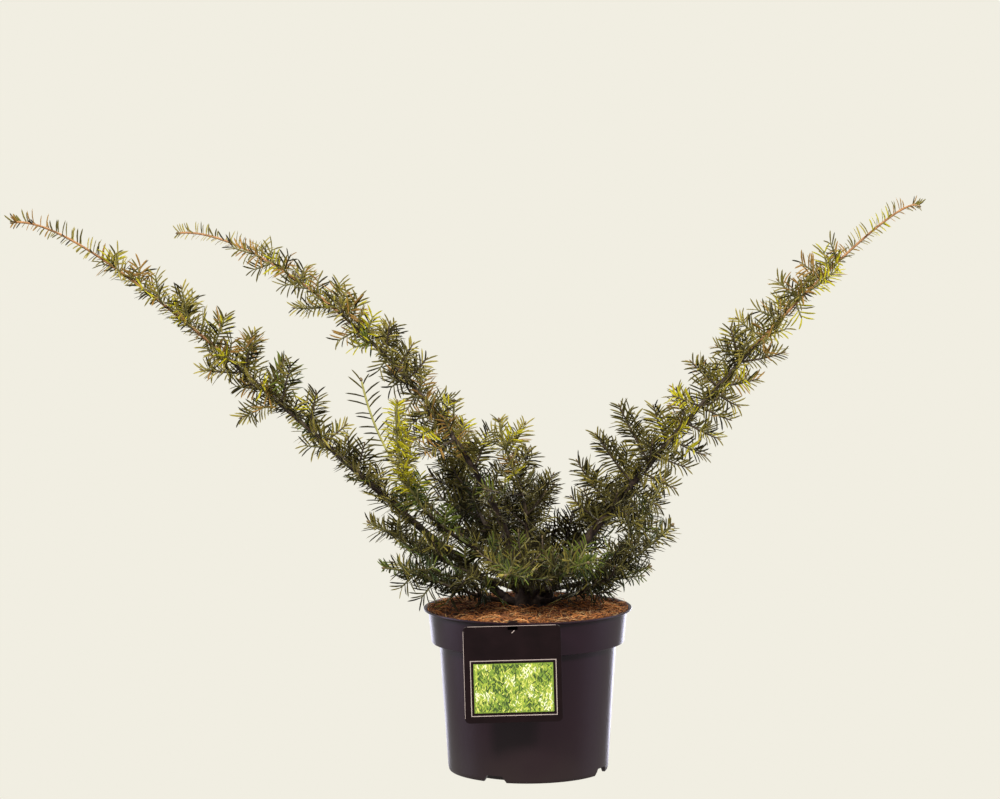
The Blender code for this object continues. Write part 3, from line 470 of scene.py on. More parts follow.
def even_path(points, step):
    """Points re-spaced evenly along the line they follow."""
    runs = np.linalg.norm(np.diff(points, axis=0), axis=1)
    along = np.concatenate([[0.0], np.cumsum(runs)])
    count = max(2, int(round(along[-1] / step)) + 1)
    targets = np.linspace(0.0, along[-1], count)
    return np.stack([np.interp(targets, along, points[:, axis]) for axis in range(3)], axis=1)


def bezier(controls, count=160):
    """Cubic curve through its four control points."""
    share = np.linspace(0.0, 1.0, count)[:, None]
    rest = 1.0 - share
    weights = (rest ** 3, 3 * rest ** 2 * share, 3 * rest * share ** 2, share ** 3)
    return sum(weight * control for weight, control in zip(weights, controls))


def limb_start(limb):
    bearing = math.atan2(limb.tip[1], limb.tip[0])
    out, height = limb.start
    return np.array([out * math.cos(bearing), out * math.sin(bearing), height])


def limb_path(limb):
    """The limb's whole curve, from its start at the stem to its tip."""
    bearing = math.atan2(limb.tip[1], limb.tip[0])
    foot = limb_start(limb)
    tip = np.array(limb.tip)
    chord = np.linalg.norm(tip - foot)
    knee = foot + heading(bearing, math.radians(limb.leave)) * chord * limb.pull[0]
    nape = tip - heading(bearing, math.radians(limb.arrive)) * chord * limb.pull[1]
    return even_path(bezier((foot, knee, nape, tip)), PATH_STEP)


def run_of(path):
    """Length of a path that is spaced evenly."""
    return PATH_STEP * (len(path) - 1)


def limb_radius(limb, share):
    return LIMB_TIP_RADIUS + (limb.foot - LIMB_TIP_RADIUS) * (1.0 - share) ** LIMB_TAPER


def frames_along(path):
    """Tangents and the upward normals that turn with them."""
    tangents = np.gradient(path, axis=0)
    tangents /= np.linalg.norm(tangents, axis=1)[:, None]
    ups = []
    sky = np.array([0.0, 0.0, 1.0])
    up = sky if abs(tangents[0][2]) < UPRIGHT else np.array([0.0, -1.0, 0.0])
    for tangent in tangents:
        wanted = UP_MEMORY * up + (1.0 - UP_MEMORY) * sky
        up = unit(wanted - tangent * (wanted @ tangent))
        ups.append(up)
    return tangents, np.array(ups)


# Space taken up by limbs and shoots
def segment_gaps(start, end, starts, ends):
    """Least distance from one segment to each of many others."""
    run = end - start
    runs = ends - starts
    offset = start - starts
    own = max(run @ run, 1e-18)
    others = np.maximum((runs * runs).sum(axis=1), 1e-18)
    cross = runs @ run
    lead = offset @ run
    lag = (runs * offset).sum(axis=1)
    spread = own * others - cross * cross
    along = np.where(spread > 1e-24, (cross * lag - lead * others) / np.maximum(spread, 1e-24), 0.0)
    along = np.clip(along, 0.0, 1.0)
    across = np.clip((cross * along + lag) / others, 0.0, 1.0)
    along = np.clip((cross * across - lead) / own, 0.0, 1.0)
    gaps = offset + along[:, None] * run - across[:, None] * runs
    return np.linalg.norm(gaps, axis=1)


class Space:
    """Segments kept by cell, so that only near ones are compared."""

    def __init__(self):
        self.cells = {}

    def add(self, start, end, radius, mass, twig):
        pieces = max(1, math.ceil(np.linalg.norm(end - start) / CELL))
        for index in range(pieces):
            near = start + (end - start) * index / pieces
            far = start + (end - start) * (index + 1) / pieces
            key = tuple(np.floor((near + far) / 2 / CELL).astype(int))
            self.cells.setdefault(key, []).append((*near, *far, radius, mass, twig))

    def add_path(self, path, radii, mass, twig):
        for index in range(len(path) - 1):
            self.add(path[index], path[index + 1], radii[index], mass, twig)

    def nearest(self, start, end, mass, twig):
        """Gap to other masses, and gap to other twigs of the same mass."""
        middle = np.floor((start + end) / 2 / CELL).astype(int)
        rows = []
        for dx in (-1, 0, 1):
            for dy in (-1, 0, 1):
                for dz in (-1, 0, 1):
                    rows += self.cells.get((middle[0] + dx, middle[1] + dy, middle[2] + dz), ())
        if not rows:
            return 1.0, 1.0
        table = np.array(rows)
        gaps = segment_gaps(start, end, table[:, 0:3], table[:, 3:6]) - table[:, 6]
        other = table[:, 7] != mass
        own = ~other & (table[:, 8] != twig)
        return (gaps[other].min() if other.any() else 1.0), (gaps[own].min() if own.any() else 1.0)


def above_pot(point):
    """Height that a point has to spare over the soil and the pot's lip."""
    return point[2] - POT_HEIGHT - RIM_CLEARANCE


# Growth rule
def marked_shoots(name, limb, path):
    """Shoots with a place, lean and length of their own, as seen from the front."""
    for share, lean, length in MARKED.get(name, ()):
        index = int((share - limb.bare) / (1.0 - limb.bare) * (len(path) - 1))
        angle = math.radians(lean)
        yield index, unit(np.array([math.cos(angle), FACING, math.sin(angle)])), length, LIFT_SPREAD


def shoot_curve(foot, direction, length, lift):
    """A shoot's path: straight out at first, then bent up by its lift."""
    bent = unit(direction + np.array([0.0, 0.0, lift]))
    middle = foot + direction * length / 2
    knees = (foot + direction * length / 3, middle + direction * length / 8)
    return even_path(bezier((foot, *knees, middle + bent * length / 2), 24), PATH_STEP)


def shoot_swell(share):
    """Share of the longest shoot's length: half at the foot and the tip, whole between them."""
    return 0.45 + 0.55 * math.sin(math.pi * (0.24 + 0.76 * share) ** 0.8)


def ruled_shoots(limb, path, draws, gap=None, reach=None, turn=0.0):
    """Shoots set round the stem by the golden angle, or to its two sides in a flat spray."""
    habit = HABITS[limb.habit]
    tangents, ups = frames_along(path)
    length = run_of(path)
    count = int(length * (1.0 - habit.free) / (gap or habit.gap))
    for number in range(count):
        jitter, roll, stretch, splay, curl = draws.uniform(-1.0, 1.0, 5)
        share = (number + 0.5 + PLACE_SPREAD * jitter) / count * (1.0 - habit.free)
        index = min(len(path) - 2, int(share * (len(path) - 1)))
        if habit.flat:
            angle = (FLAT_ANGLE + FLAT_SPREAD * roll) * (1 if number % 2 else -1)
        else:
            angle = (number * GOLDEN_ANGLE + turn + ROLL_SPREAD * roll + math.pi) % (2 * math.pi) - math.pi
            if abs(angle) > DOWNWARD:
                angle -= math.copysign(TURNED_UP, angle)
        tangent, up = tangents[index], ups[index]
        radial = math.cos(angle) * up + math.sin(angle) * np.cross(tangent, up)
        spread = math.radians(habit.spread + SPLAY * splay)
        direction = math.cos(spread) * tangent + math.sin(spread) * radial
        swell = shoot_swell(share / (1.0 - habit.free))
        size = (reach or habit.reach) * swell * (1.0 + LENGTH_SPREAD * stretch)
        yield index, unit(direction), size, habit.lift + LIFT_SPREAD * curl


def with_bud(path):
    """A shoot's path carried on to the point of the bud that ends it."""
    return np.vstack([path, path[-1] + unit(path[-1] - path[-2]) * BUD_LENGTH])


def fits(path, radius, mass, space, clearance=SHOOT_CLEARANCE, root=SHOOT_ROOT, first=2):
    """Whether a shoot keeps clear of other masses and stays over the pot."""
    for index in range(first, len(path) - 1):
        if above_pot(path[index + 1]) < radius:
            return False
        other, own = space.nearest(path[index], path[index + 1], mass, 0)
        if other < clearance + radius:
            return False
        if index * PATH_STEP > root and own < clearance / 2 + radius:
            return False
    return True


def grow_shoots(name, limb, stem, mass, space):
    """Side shoots that fit, each shortened step by step before it is given up."""
    draws = np.random.RandomState(SEED + mass)
    plans = list(marked_shoots(name, limb, stem)) + list(ruled_shoots(limb, stem, draws))
    return set_shoots(plans, stem, mass, space, SHOOT_RADIUS, SHOOT_SHORTEST, {})


def set_shoots(plans, stem, mass, space, radius, shortest, room):
    """Paths of the planned shoots that fit, with each one's place on its stem."""
    shoots = []
    for index, direction, length, lift in plans:
        for shrink in SHOOT_SHRINKS:
            if length * shrink < shortest:
                break
            path = shoot_curve(stem[index], direction, length * shrink, lift)
            reach = with_bud(path)
            if fits(reach, radius, mass, space, **room):
                space.add_path(reach, [radius] * len(reach), mass, len(shoots) + 1)
                shoots.append((index / (len(stem) - 1), path))
                break
    return shoots


def grow_limbs(space):
    """Boughs and stems first, then shoots, so that every mass keeps to its own space."""
    limbs = {}
    for mass, (name, limb) in enumerate(LIMBS.items(), start=1):
        path = limb_path(limb)
        split = int(limb.bare * (len(path) - 1))
        radii = [limb_radius(limb, index / len(path)) for index in range(len(path))]
        space.add_path(path[:split + 1], radii[:split + 1], -mass, 0)
        stem = path[split:].copy()
        stem[0] += unit(stem[1] - stem[0]) * CLEARANCE / 2
        space.add_path(with_bud(stem), radii[split:], mass, 0)
        limbs[name] = (path, split, stem)
    shoots = {}
    for mass, (name, limb) in enumerate(LIMBS.items(), start=1):
        shoots[name] = grow_shoots(name, limb, limbs[name][2], mass, space)
    return limbs, shoots


# Finer growth
def grow_fine_shoots(limb, stem, mass, space):
    """Shorter shoots that fill in between the ruled ones."""
    draws = np.random.RandomState(SEED + 200 + mass)
    fine = FINE_SHOOTS[limb.habit]
    plans = ruled_shoots(limb, stem, draws, fine.gap, fine.reach, turn=1.2)
    room = {"clearance": FINE_CLEARANCE, "root": SHOOT_ROOT / 2}
    return set_shoots(plans, stem, mass, space, FINE_RADIUS, FINE_SHORTEST, room)


def grow_bough_shoots(limb, bough, mass, space):
    """Short leafy shoots on the outer part of a bough, which hide it in the middle of the plant."""
    draws = np.random.RandomState(SEED + 700 + mass)
    outer = bough[int(BOUGH_SHOOTS_FROM * (len(bough) - 1)):]
    if len(outer) < BOUGH_SHOOTS_SKIP:
        return []
    plans = ruled_shoots(limb, outer, draws, BOUGH_SHOOTS.gap, BOUGH_SHOOTS.reach, turn=0.6)
    room = {"clearance": FINE_CLEARANCE, "root": SHOOT_ROOT / 2, "first": BOUGH_SHOOTS_SKIP}
    return set_shoots(plans, outer, mass, space, FINE_RADIUS, FINE_SHORTEST, room)


def twig_plans(shoot, draws):
    """Twigs to the left and right of a shoot, shorter towards its tip."""
    tangents, ups = frames_along(shoot)
    length = run_of(shoot)
    count = int(length * TWIG_ROOM / TWIG_GAP)
    for number in range(count):
        jitter, roll, stretch, splay, curl = draws.uniform(-1.0, 1.0, 5)
        share = TWIG_PLACES[0] + TWIG_PLACES[1] * (number + 0.5 + PLACE_SPREAD * jitter) / count
        index = min(len(shoot) - 2, int(share * (len(shoot) - 1)))
        angle = (TWIG_ANGLE + TWIG_ROLL * roll) * (1 if number % 2 else -1)
        tangent, up = tangents[index], ups[index]
        radial = math.cos(angle) * up + math.sin(angle) * np.cross(tangent, up)
        spread = math.radians(TWIG_SPREAD + SPLAY * splay)
        direction = math.cos(spread) * tangent + math.sin(spread) * radial
        size = length * TWIG_REACH * (TWIG_LONGEST - share) * (1.0 + LENGTH_SPREAD * stretch)
        yield index, unit(direction), size, TWIG_LIFT + LIFT_SPREAD * curl


def grow_twigs(shoots, mass, space):
    """Twigs on the shoots long enough to carry them, with each shoot's place on the limb."""
    draws = np.random.RandomState(SEED + 300 + mass)
    room = {"clearance": FINE_CLEARANCE, "root": SHOOT_ROOT / 2}
    twigs = []
    for share, shoot in shoots:
        if run_of(shoot) < TWIG_FROM:
            continue
        plans = twig_plans(shoot, draws)
        made = set_shoots(plans, shoot, mass, space, FINE_RADIUS, FINE_SHORTEST, room)
        twigs += [(share, path) for _, path in made]
    return twigs


# Joined meshes
class Joined:
    """Vertices and faces of many small closed forms, gathered for one mesh."""

    def __init__(self):
        self.points = []
        self.faces = []
        self.slots = []
        self.count = 0

    def add(self, points, faces, slots=None):
        """Points as an array, and faces as lists of corners with the slot that each one takes."""
        self.points.append(np.asarray(points, dtype=float).reshape(-1, 3))
        self.faces += [[corner + self.count for corner in face] for face in faces]
        self.slots += list(slots) if slots is not None else [0] * len(faces)
        self.count += len(self.points[-1])

    def build(self, name, materials, smooth=False):
        data = bpy.data.meshes.new(name)
        data.from_pydata(np.vstack(self.points).tolist(), [], self.faces)
        return finished(name, data, materials, self.slots, smooth)


def finished(name, data, materials, slots=None, smooth=False):
    """An object of the mesh, linked, with its materials and shading."""
    for made in materials:
        data.materials.append(made)
    if slots is not None:
        data.polygons.foreach_set("material_index", np.asarray(slots, dtype=np.int32))
    data.polygons.foreach_set("use_smooth", np.full(len(data.polygons), smooth))
    data.update()
    piece = bpy.data.objects.new(name, data)
    bpy.context.scene.collection.objects.link(piece)
    return piece


def ring_faces(rings, sides, first=True, last=True):
    """Quads between rings of corners, with a cap at either end."""
    faces = []
    for ring in range(rings - 1):
        for side in range(sides):
            after = (side + 1) % sides
            faces.append((ring * sides + side, ring * sides + after,
                          (ring + 1) * sides + after, (ring + 1) * sides + side))
    if first:
        faces.append(tuple(reversed(range(sides))))
    if last:
        faces.append(tuple((rings - 1) * sides + side for side in range(sides)))
    return faces


def sweep(path, radii, sides, turn=0.0):
    """Corners of a tube's rings along a path, as (rings, sides, 3)."""
    tangents, ups = frames_along(path)
    across = np.cross(tangents, ups)
    angles = turn + np.arange(sides) * 2 * math.pi / sides
    spokes = np.cos(angles)[None, :, None] * across[:, None] + np.sin(angles)[None, :, None] * ups[:, None]
    return path[:, None] + spokes * np.asarray(radii)[:, None, None]


# Materials
def node_material(name):
    made = bpy.data.materials.new(name)
    made.use_nodes = True
    tree = made.node_tree
    return made, tree, tree.nodes["Principled BSDF"]


def place_node(tree, kind, settings=(), **inputs):
    """A node with its settings, and with its inputs set or linked by name."""
    made = tree.nodes.new(kind)
    for key, value in dict(settings).items():
        setattr(made, key, value)
    for key, value in inputs.items():
        socket = made.inputs[key.replace("_", " ")]
        if isinstance(value, bpy.types.NodeSocket):
            tree.links.new(value, socket)
        else:
            socket.default_value = value
    return made


def grain(tree, scale, detail=3.0, stretch=(1.0, 1.0, 1.0), roughness=0.5):
    """Noise over the object's own coordinates, stretched along its axes."""
    place = place_node(tree, "ShaderNodeTexCoord")
    mapping = place_node(tree, "ShaderNodeMapping", Vector=place.outputs["Object"], Scale=stretch)
    spread = place_node(tree, "ShaderNodeTexNoise", Vector=mapping.outputs["Vector"],
                        Scale=scale, Detail=detail, Roughness=roughness)
    return spread.outputs["Fac"]


def ramp(tree, source, stops):
    """Colours by (place, colour) over a source value."""
    made = tree.nodes.new("ShaderNodeValToRGB")
    tree.links.new(source, made.inputs["Fac"])
    elements = made.color_ramp.elements
    while len(elements) < len(stops):
        elements.new(0.5)
    for element, (place, colour) in zip(elements, stops):
        element.position = place
        element.color = (*colour, 1.0)
    return made.outputs["Color"]


def spread_of(tree, source, low, high):
    """A value between low and high that follows a source value."""
    made = place_node(tree, "ShaderNodeMapRange", Value=source)
    made.inputs["To Min"].default_value = low
    made.inputs["To Max"].default_value = high
    return made.outputs["Result"]


def bump(tree, shader, height, strength, distance):
    made = place_node(tree, "ShaderNodeBump", Height=height, Strength=strength, Distance=distance)
    tree.links.new(made.outputs["Normal"], shader.inputs["Normal"])


def shade(colour, factor):
    return tuple(min(1.0, channel * factor) for channel in colour)


def varied_material(name, colour, depth, scale, roughness, relief=(0.25, 0.0002), gloss=0.5):
    """A colour that wavers by depth either way, with a wavering roughness and a fine relief."""
    made, tree, shader = node_material(name)
    field = grain(tree, scale)
    tint = ramp(tree, field, ((0.30, shade(colour, 1.0 - depth)), (0.70, shade(colour, 1.0 + depth))))
    tree.links.new(tint, shader.inputs["Base Color"])
    tree.links.new(spread_of(tree, field, *roughness), shader.inputs["Roughness"])
    shader.inputs["Specular IOR Level"].default_value = gloss
    bump(tree, shader, grain(tree, scale * 2.6), *relief)
    return made


def needle_materials(tint):
    """Waxy upper face and pale matt lower face of one tint."""
    above, below = NEEDLE_COLOURS[tint]
    faces = [varied_material(f"needle_{tint}_above", above, 0.22, 90, (0.34, 0.50), gloss=0.16),
             varied_material(f"needle_{tint}_below", below, 0.15, 120, (0.55, 0.70), gloss=0.08)]
    for face in faces:
        face.node_tree.nodes["Principled BSDF"].inputs["Specular Tint"].default_value = NEEDLE_SHINE
    return faces


def bark_materials():
    """Flaky old bark darkened as painted shade, brown wood, orange, green and pale young wood, and the buds'
    scales.
    """
    old, tree, shader = node_material("bark_old_and_shade")
    flakes = grain(tree, 210, 5.0, (1.0, 1.0, 0.35), 0.6)
    # Old bark colours, darker than the bark's own tone: painted shade of the crown's foot
    tree.links.new(ramp(tree, flakes, OLD_BARK_AND_SHADE_RAMP), shader.inputs["Base Color"])
    tree.links.new(spread_of(tree, flakes, 0.95, 0.70), shader.inputs["Roughness"])
    shader.inputs["Specular IOR Level"].default_value = 0.25
    bump(tree, shader, flakes, 0.7, 0.0008)
    return [old] + [varied_material(name, *finish) for name, finish in WOOD_FINISHES.items()]


# Needles
def needle_template():
    """Faces and slots of one needle: keeled above, flat below, pointed at its tip."""
    last = len(NEEDLE_STATIONS) - 1
    faces = [(2, 1, 0)]
    slots = [1]
    for ring in range(last):
        here, there = 3 * ring, 3 * (ring + 1)
        for side in range(3):
            after = (side + 1) % 3
            faces.append((here + side, here + after, there + after, there + side))
            slots.append(1 if side == 2 else 0)
    tip = 3 * (last + 1)
    for side in range(3):
        faces.append((3 * last + side, 3 * last + (side + 1) % 3, tip))
        slots.append(1 if side == 2 else 0)
    return faces, slots


def needle_points(rows):
    """Corners of every needle, ring by ring and then its tip."""
    foot, along, face = rows[:, 0:3], rows[:, 3:6], rows[:, 6:9]
    length, width, droop, sway = rows[:, 9], rows[:, 10], rows[:, 11], rows[:, 12]
    side = np.cross(along, face)
    shares = np.array([share for share, _ in NEEDLE_STATIONS] + [1.0])
    halves = np.array([half for _, half in NEEDLE_STATIONS] + [0.0])
    bends = droop[:, None, None] * face[:, None] + sway[:, None, None] * side[:, None]
    curve = (shares ** 2)[None, :, None] * bends
    spine = foot[:, None] + length[:, None, None] * (shares[None, :, None] * along[:, None] + curve)
    half = (width / 2)[:, None, None] * halves[None, :, None]
    left = spine - half * side[:, None]
    keel = spine + half * (2 * NEEDLE_KEEL) * face[:, None]
    right = spine + half * side[:, None]
    rings = np.stack([left, keel, right], axis=2)[:, :-1].reshape(len(rows), -1, 3)
    return np.concatenate([rings, spine[:, -1:]], axis=1)


def needle_piece(name, rows, materials):
    """One mesh of many needles, set from arrays."""
    faces, slots = needle_template()
    points = needle_points(rows)
    each = points.shape[1]
    corners = np.concatenate([np.array(face) for face in faces])
    sizes = np.array([len(face) for face in faces])
    starts = np.concatenate([[0], np.cumsum(sizes)[:-1]])
    steps = np.arange(len(rows))[:, None]
    data = bpy.data.meshes.new(name)
    data.vertices.add(len(rows) * each)
    data.vertices.foreach_set("co", points.reshape(-1).astype(np.float32))
    data.loops.add(len(rows) * len(corners))
    data.loops.foreach_set("vertex_index", (corners[None] + steps * each).reshape(-1).astype(np.int32))
    data.polygons.add(len(rows) * len(faces))
    firsts = starts[None] + steps * len(corners)
    data.polygons.foreach_set("loop_start", firsts.reshape(-1).astype(np.int32))
    data.update(calc_edges=True)
    return finished(name, data, materials, np.tile(slots, len(rows)))


def at_spots(values, spots):
    """Rows of a table read off between its entries."""
    steps = np.arange(len(values))
    return np.stack([np.interp(spots, steps, values[:, axis]) for axis in range(3)], axis=1)


def needle_places(kind, gap, length, ending, draws):
    """Shares of a twig's length where its needles stand, crowded at the end of a stem."""
    count = max(FEWEST_NEEDLES, int(length / (NEEDLE_GAPS[kind] * gap)))
    places = (np.arange(count) + 0.5 + NEEDLE_JITTER[kind] * draws.uniform(-1, 1, count)) / count
    if kind == "stem" and ending:
        tuft = 1.0 - TUFT_RUN * draws.uniform(0, 1, TIP_TUFT) ** TUFT_CROWDING
        places = np.concatenate([places, tuft])
    return np.clip(places, 0.0, 1.0)


def needle_angles(kind, count, draws):
    """Angles round the twig from its upper side: two ranks, and most of the way round a stem."""
    signs = np.where(np.arange(count) % 2, 1.0, -1.0)
    lifts = draws.uniform(*NEEDLE_LIFT, count)
    angles = signs * (math.pi / 2 - lifts)
    if kind == "stem":
        round_angles = (np.arange(count) * GOLDEN_ANGLE + math.pi) % (2 * math.pi) - math.pi
        turned = np.abs(round_angles) > DOWNWARD
        lifted = np.copysign(TURNED_UP, round_angles[turned]) * draws.uniform(0, 1, turned.sum())
        round_angles[turned] -= lifted
        angles = np.where(draws.uniform(0, 1, count) < ROUND_SHARE, round_angles, angles)
    return angles


def needle_sweeps(kind, places, ending, draws):
    """Angles between needles and twig, wide at its foot and closing towards its tip."""
    closing = np.clip((places - CLOSING_FROM) / (1.0 - CLOSING_FROM), 0.0, 1.0) * ending
    wobble = NEEDLE_SWEEP_SPREAD * draws.uniform(-1, 1, len(places))
    sweeps = NEEDLE_SWEEP - NEEDLE_CLOSING[kind] * closing + wobble
    if kind == "stem":
        sweeps += STEM_OPENING
    return sweeps + FOOT_OPENING * np.clip(1.0 - places / FOOT_SHARE, 0.0, 1.0)


def needle_swell(kind, places, ending):
    """Share of the full length: two thirds at a shoot's ends, and less towards a stem's tip."""
    if not ending:
        return np.full(len(places), STEM_SWELL)
    if kind == "stem":
        return TIP_SWELL - TIP_SWELL_LOSS * places
    return 0.66 + 0.34 * np.sin(math.pi * np.clip(0.16 + 0.78 * places, 0, 1) ** 0.9)


def wavered(values, spread, draws):
    """Values made a little longer or shorter by chance."""
    return values * (1.0 + spread * draws.uniform(-1, 1, len(values)))


def needle_rows(path, facing, kind, look, draws, ending=True):
    """Needles along one twig: two ranks on a shoot, and most of the way round on a stem."""
    places = needle_places(kind, look.gap, run_of(path), ending, draws)
    count = len(places)
    spots = places * (len(path) - 1)
    feet = at_spots(path, spots)
    tangents = units(at_spots(np.gradient(path, axis=0), spots))
    ups = units(facing - tangents * (tangents @ facing)[:, None])
    angles = needle_angles(kind, count, draws)
    radials = np.cos(angles)[:, None] * ups + np.sin(angles)[:, None] * np.cross(tangents, ups)
    sweeps = needle_sweeps(kind, places, ending, draws)
    along = units(np.cos(sweeps)[:, None] * tangents + np.sin(sweeps)[:, None] * radials)
    wanted = ups * NEEDLE_FACE_UP + tangents * NEEDLE_FACE_AHEAD[kind]
    face = units(wanted - along * (wanted * along).sum(axis=1)[:, None])
    twist = NEEDLE_TWIST * draws.uniform(-1, 1, count)
    side = np.cross(along, face)
    face = units(face * np.cos(twist)[:, None] + side * np.sin(twist)[:, None])
    swell = needle_swell(kind, places, ending)
    lengths = wavered(look.size * NEEDLE_LENGTH * swell, NEEDLE_LENGTH_SPREAD, draws)
    if kind == "stem":
        lengths *= 1.0 - LOW_SIDE_SHRINK * (radials[:, 2] < LOW_SIDE)
    full = look.size * look.width * NEEDLE_WIDTH
    widths = wavered(full * (0.75 + 0.25 * swell), NEEDLE_WIDTH_SPREAD, draws)
    droop = NEEDLE_DROOP + NEEDLE_DROOP_SPREAD * draws.uniform(-1, 1, count)
    bend = NEEDLE_BEND_SPREAD * draws.uniform(-1, 1, count)
    sway = NEEDLE_BEND * np.sign(np.sin(angles)) + bend
    rows = np.column_stack([feet, along, face, lengths, widths, droop, sway])
    tips = feet + along * lengths[:, None]
    keep = tips[:, 2] > POT_HEIGHT + POT_SPARE
    return rows[keep], places[keep]


def between(pair, share):
    return pair[0] + (pair[1] - pair[0]) * share


def spray_tint(look, share, draws, patchy=1.0):
    """The tint of one spray, by its place along the limb and by chance."""
    pick, wobble = draws.uniform(0, 1), draws.uniform(-1, 1)
    for start, end, chance, tint in look.patches:
        if start <= share <= end:
            pick -= chance * patchy
            if pick < 0.0:
                return tint
    tone = between(look.tone, share) + TONE_SPREAD * wobble
    return TONES[int(round(min(len(TONES) - 1, max(0, tone))))]


def spray_facing(limb, draws):
    """Where a spray's upper face looks: up, and to the front or the back with its limb."""
    sideways, tilt, rise = draws.uniform(-1, 1, 3)
    if limb.habit == "plume":
        return unit(np.array([PLUME_FACE[0] * sideways, PLUME_FACE[1], PLUME_FACE[2]]))
    forward = SPRAY_FACE[1] + SPRAY_FACE_SPREAD[0] * tilt
    if limb.tip[1] <= BEHIND:
        forward = -forward
    upward = SPRAY_FACE[2] + SPRAY_FACE_SPREAD[1] * rise
    return unit(np.array([SPRAY_FACE[0] * sideways, forward, upward]))


def deal(rows, places, tint, store, draws, leader=False):
    """One spray's needles, most of its own tint, some older, younger ones at its tip, and on a leader lighter
    ones near the stem as painted light.
    """
    chance = draws.uniform(0, 1, len(places))
    near = LIT_NEAR_STEM if leader else 0.0
    # The young mask holds real young growth at a spray's tip and, on a leader, needles near the stem
    # lightened as painted light
    young = ((places > YOUNG_FROM) | (places < near)) & (chance < YOUNG_CHANCE)
    old = ~young & (chance > 1.0 - OLD_CHANCE["leader" if leader else "other"])
    store[YOUNGER_AND_LIT_TINT[tint]].append(rows[young])
    store[OLDER[tint]].append(rows[old])
    store[tint].append(rows[~young & ~old])


def set_spray(path, limb, look, share, store, draws):
    leader = limb.habit == "leader"
    long_shoot = leader and run_of(path) > TWIG_FROM
    tint = spray_tint(look, share, draws, LONG_SHOOT_PATCHES if long_shoot else 1.0)
    rows, places = needle_rows(path, spray_facing(limb, draws), "shoot", look, draws)
    deal(rows, places, tint, store, draws, leader)


def set_stem_sprays(limb, stem, look, store, draws):
    """The stem's own needles, dealt out stretch by stretch."""
    kind = "shoot" if limb.habit == "plume" else "stem"
    count = max(1, (len(stem) - 1) // STEM_STRETCH)
    for number in range(count):
        start = number * STEM_STRETCH
        last = number == count - 1
        end = len(stem) if last else start + STEM_STRETCH + 1
        tint = spray_tint(look, number / max(1, count - 1), draws)
        facing = spray_facing(limb, draws)
        sparser = look._replace(gap=look.gap * (1.0 + STEM_THINNING * number / count))
        rows, places = needle_rows(stem[start:end], facing, kind, sparser, draws, last)
        deal(rows, places * last, tint, store, draws, limb.habit == "leader")


# Twigs, buds and limbs
def twig_tube(joined, path, foot_radius, tip_radius):
    """A thin twig, swollen a little where needles stand."""
    points = even_path(path, TWIG_STEP)
    radii = np.linspace(foot_radius, tip_radius, len(points))
    radii[1::2] *= TWIG_KNOT
    joined.add(sweep(points, radii, TWIG_SIDES), ring_faces(len(points), TWIG_SIDES))


def bud(joined, path, radius):
    """A small scaly bud that ends a twig."""
    along = unit(path[-1] - path[-2])
    places, swells = np.array(BUD_STATIONS).T
    points = path[-1] + along * BUD_RUN * places[:, None]
    corners = sweep(points, radius * swells, TWIG_SIDES, turn=BUD_TURN)
    joined.add(corners, ring_faces(len(points), TWIG_SIDES))


def bark_relief(point, along, strength):
    """Share by which a limb's radius swells or shrinks at a point: ridges and flaking plates."""
    x, y, z = point
    ridge = noise.noise(Vector((x * RIDGE_SCALE, y * RIDGE_SCALE, z * RIDGE_SCALE)))
    plate = noise.noise(Vector((x * PLATE_SCALE, y * PLATE_SCALE, along * PLATE_RUN)))
    return 1.0 + strength * (RELIEF_SHARES[0] * ridge + RELIEF_SHARES[1] * plate)


def limb_tube(joined, limb, path):
    """A limb with bark relief: old bark at its foot, younger wood towards its tip."""
    sides = LIMB_SIDES["leader" if limb.habit == "leader" else "other"]
    shares = np.linspace(0, 1, len(path))
    radii = np.array([limb_radius(limb, share) for share in shares])
    radii[-1] = LIMB_TIP_RADIUS * LIMB_POINT
    corners = sweep(path, radii, sides)
    for ring, share in enumerate(shares):
        strength = RELIEF_STRENGTH[0] * (1.0 - share) + RELIEF_STRENGTH[1]
        for side in range(sides):
            factor = bark_relief(corners[ring, side], share, strength)
            corners[ring, side] = path[ring] + (corners[ring, side] - path[ring]) * factor
    faces = ring_faces(len(path), sides)
    slots = []
    for index in range(len(faces)):
        ring = min(index // sides, len(path) - 1)
        spot = Vector(corners[ring, index % sides] * BARK_WANDER[1])
        wander = BARK_WANDER[0] * noise.noise(spot)
        slots.append(limb_slot(limb, shares[ring] + wander))
    joined.add(corners, faces, slots)


def limb_slot(limb, share):
    """Material slot of a limb's face: old bark, brown, then orange or green young wood."""
    if limb.habit == "plume":
        return 4 if share > PLUME_BROWN_TO else 1
    if share < OLD_BARK_TO:
        return 0
    if limb.habit == "leader":
        return 1 if share < BROWN_BARK_TO["leader"] else 2
    return 1 if share < BROWN_BARK_TO["other"] else 3


# Trunk
def turned_mesh(profile, steps):
    """Corners and faces of a solid turned from a profile that starts and ends on the axis."""
    angles = np.arange(steps) * 2 * math.pi / steps
    body = np.array(profile[1:-1])
    ring = np.stack([np.cos(angles), np.sin(angles)], axis=1)
    corners = np.array([[(radius * x, radius * y, height) for x, y in ring] for radius, height in body])
    points = np.vstack([corners.reshape(-1, 3), [(0, 0, profile[0][1])], [(0, 0, profile[-1][1])]])
    top, bottom = len(points) - 2, len(points) - 1
    faces = []
    for row in range(len(body) - 1):
        for step in range(steps):
            after = (step + 1) % steps
            here, below = row * steps, (row + 1) * steps
            faces.append((here + step, below + step, below + after, here + after))
    foot = (len(body) - 1) * steps
    for step in range(steps):
        after = (step + 1) % steps
        faces.append((top, step, after))
        faces.append((bottom, foot + after, foot + step))
    return points, faces


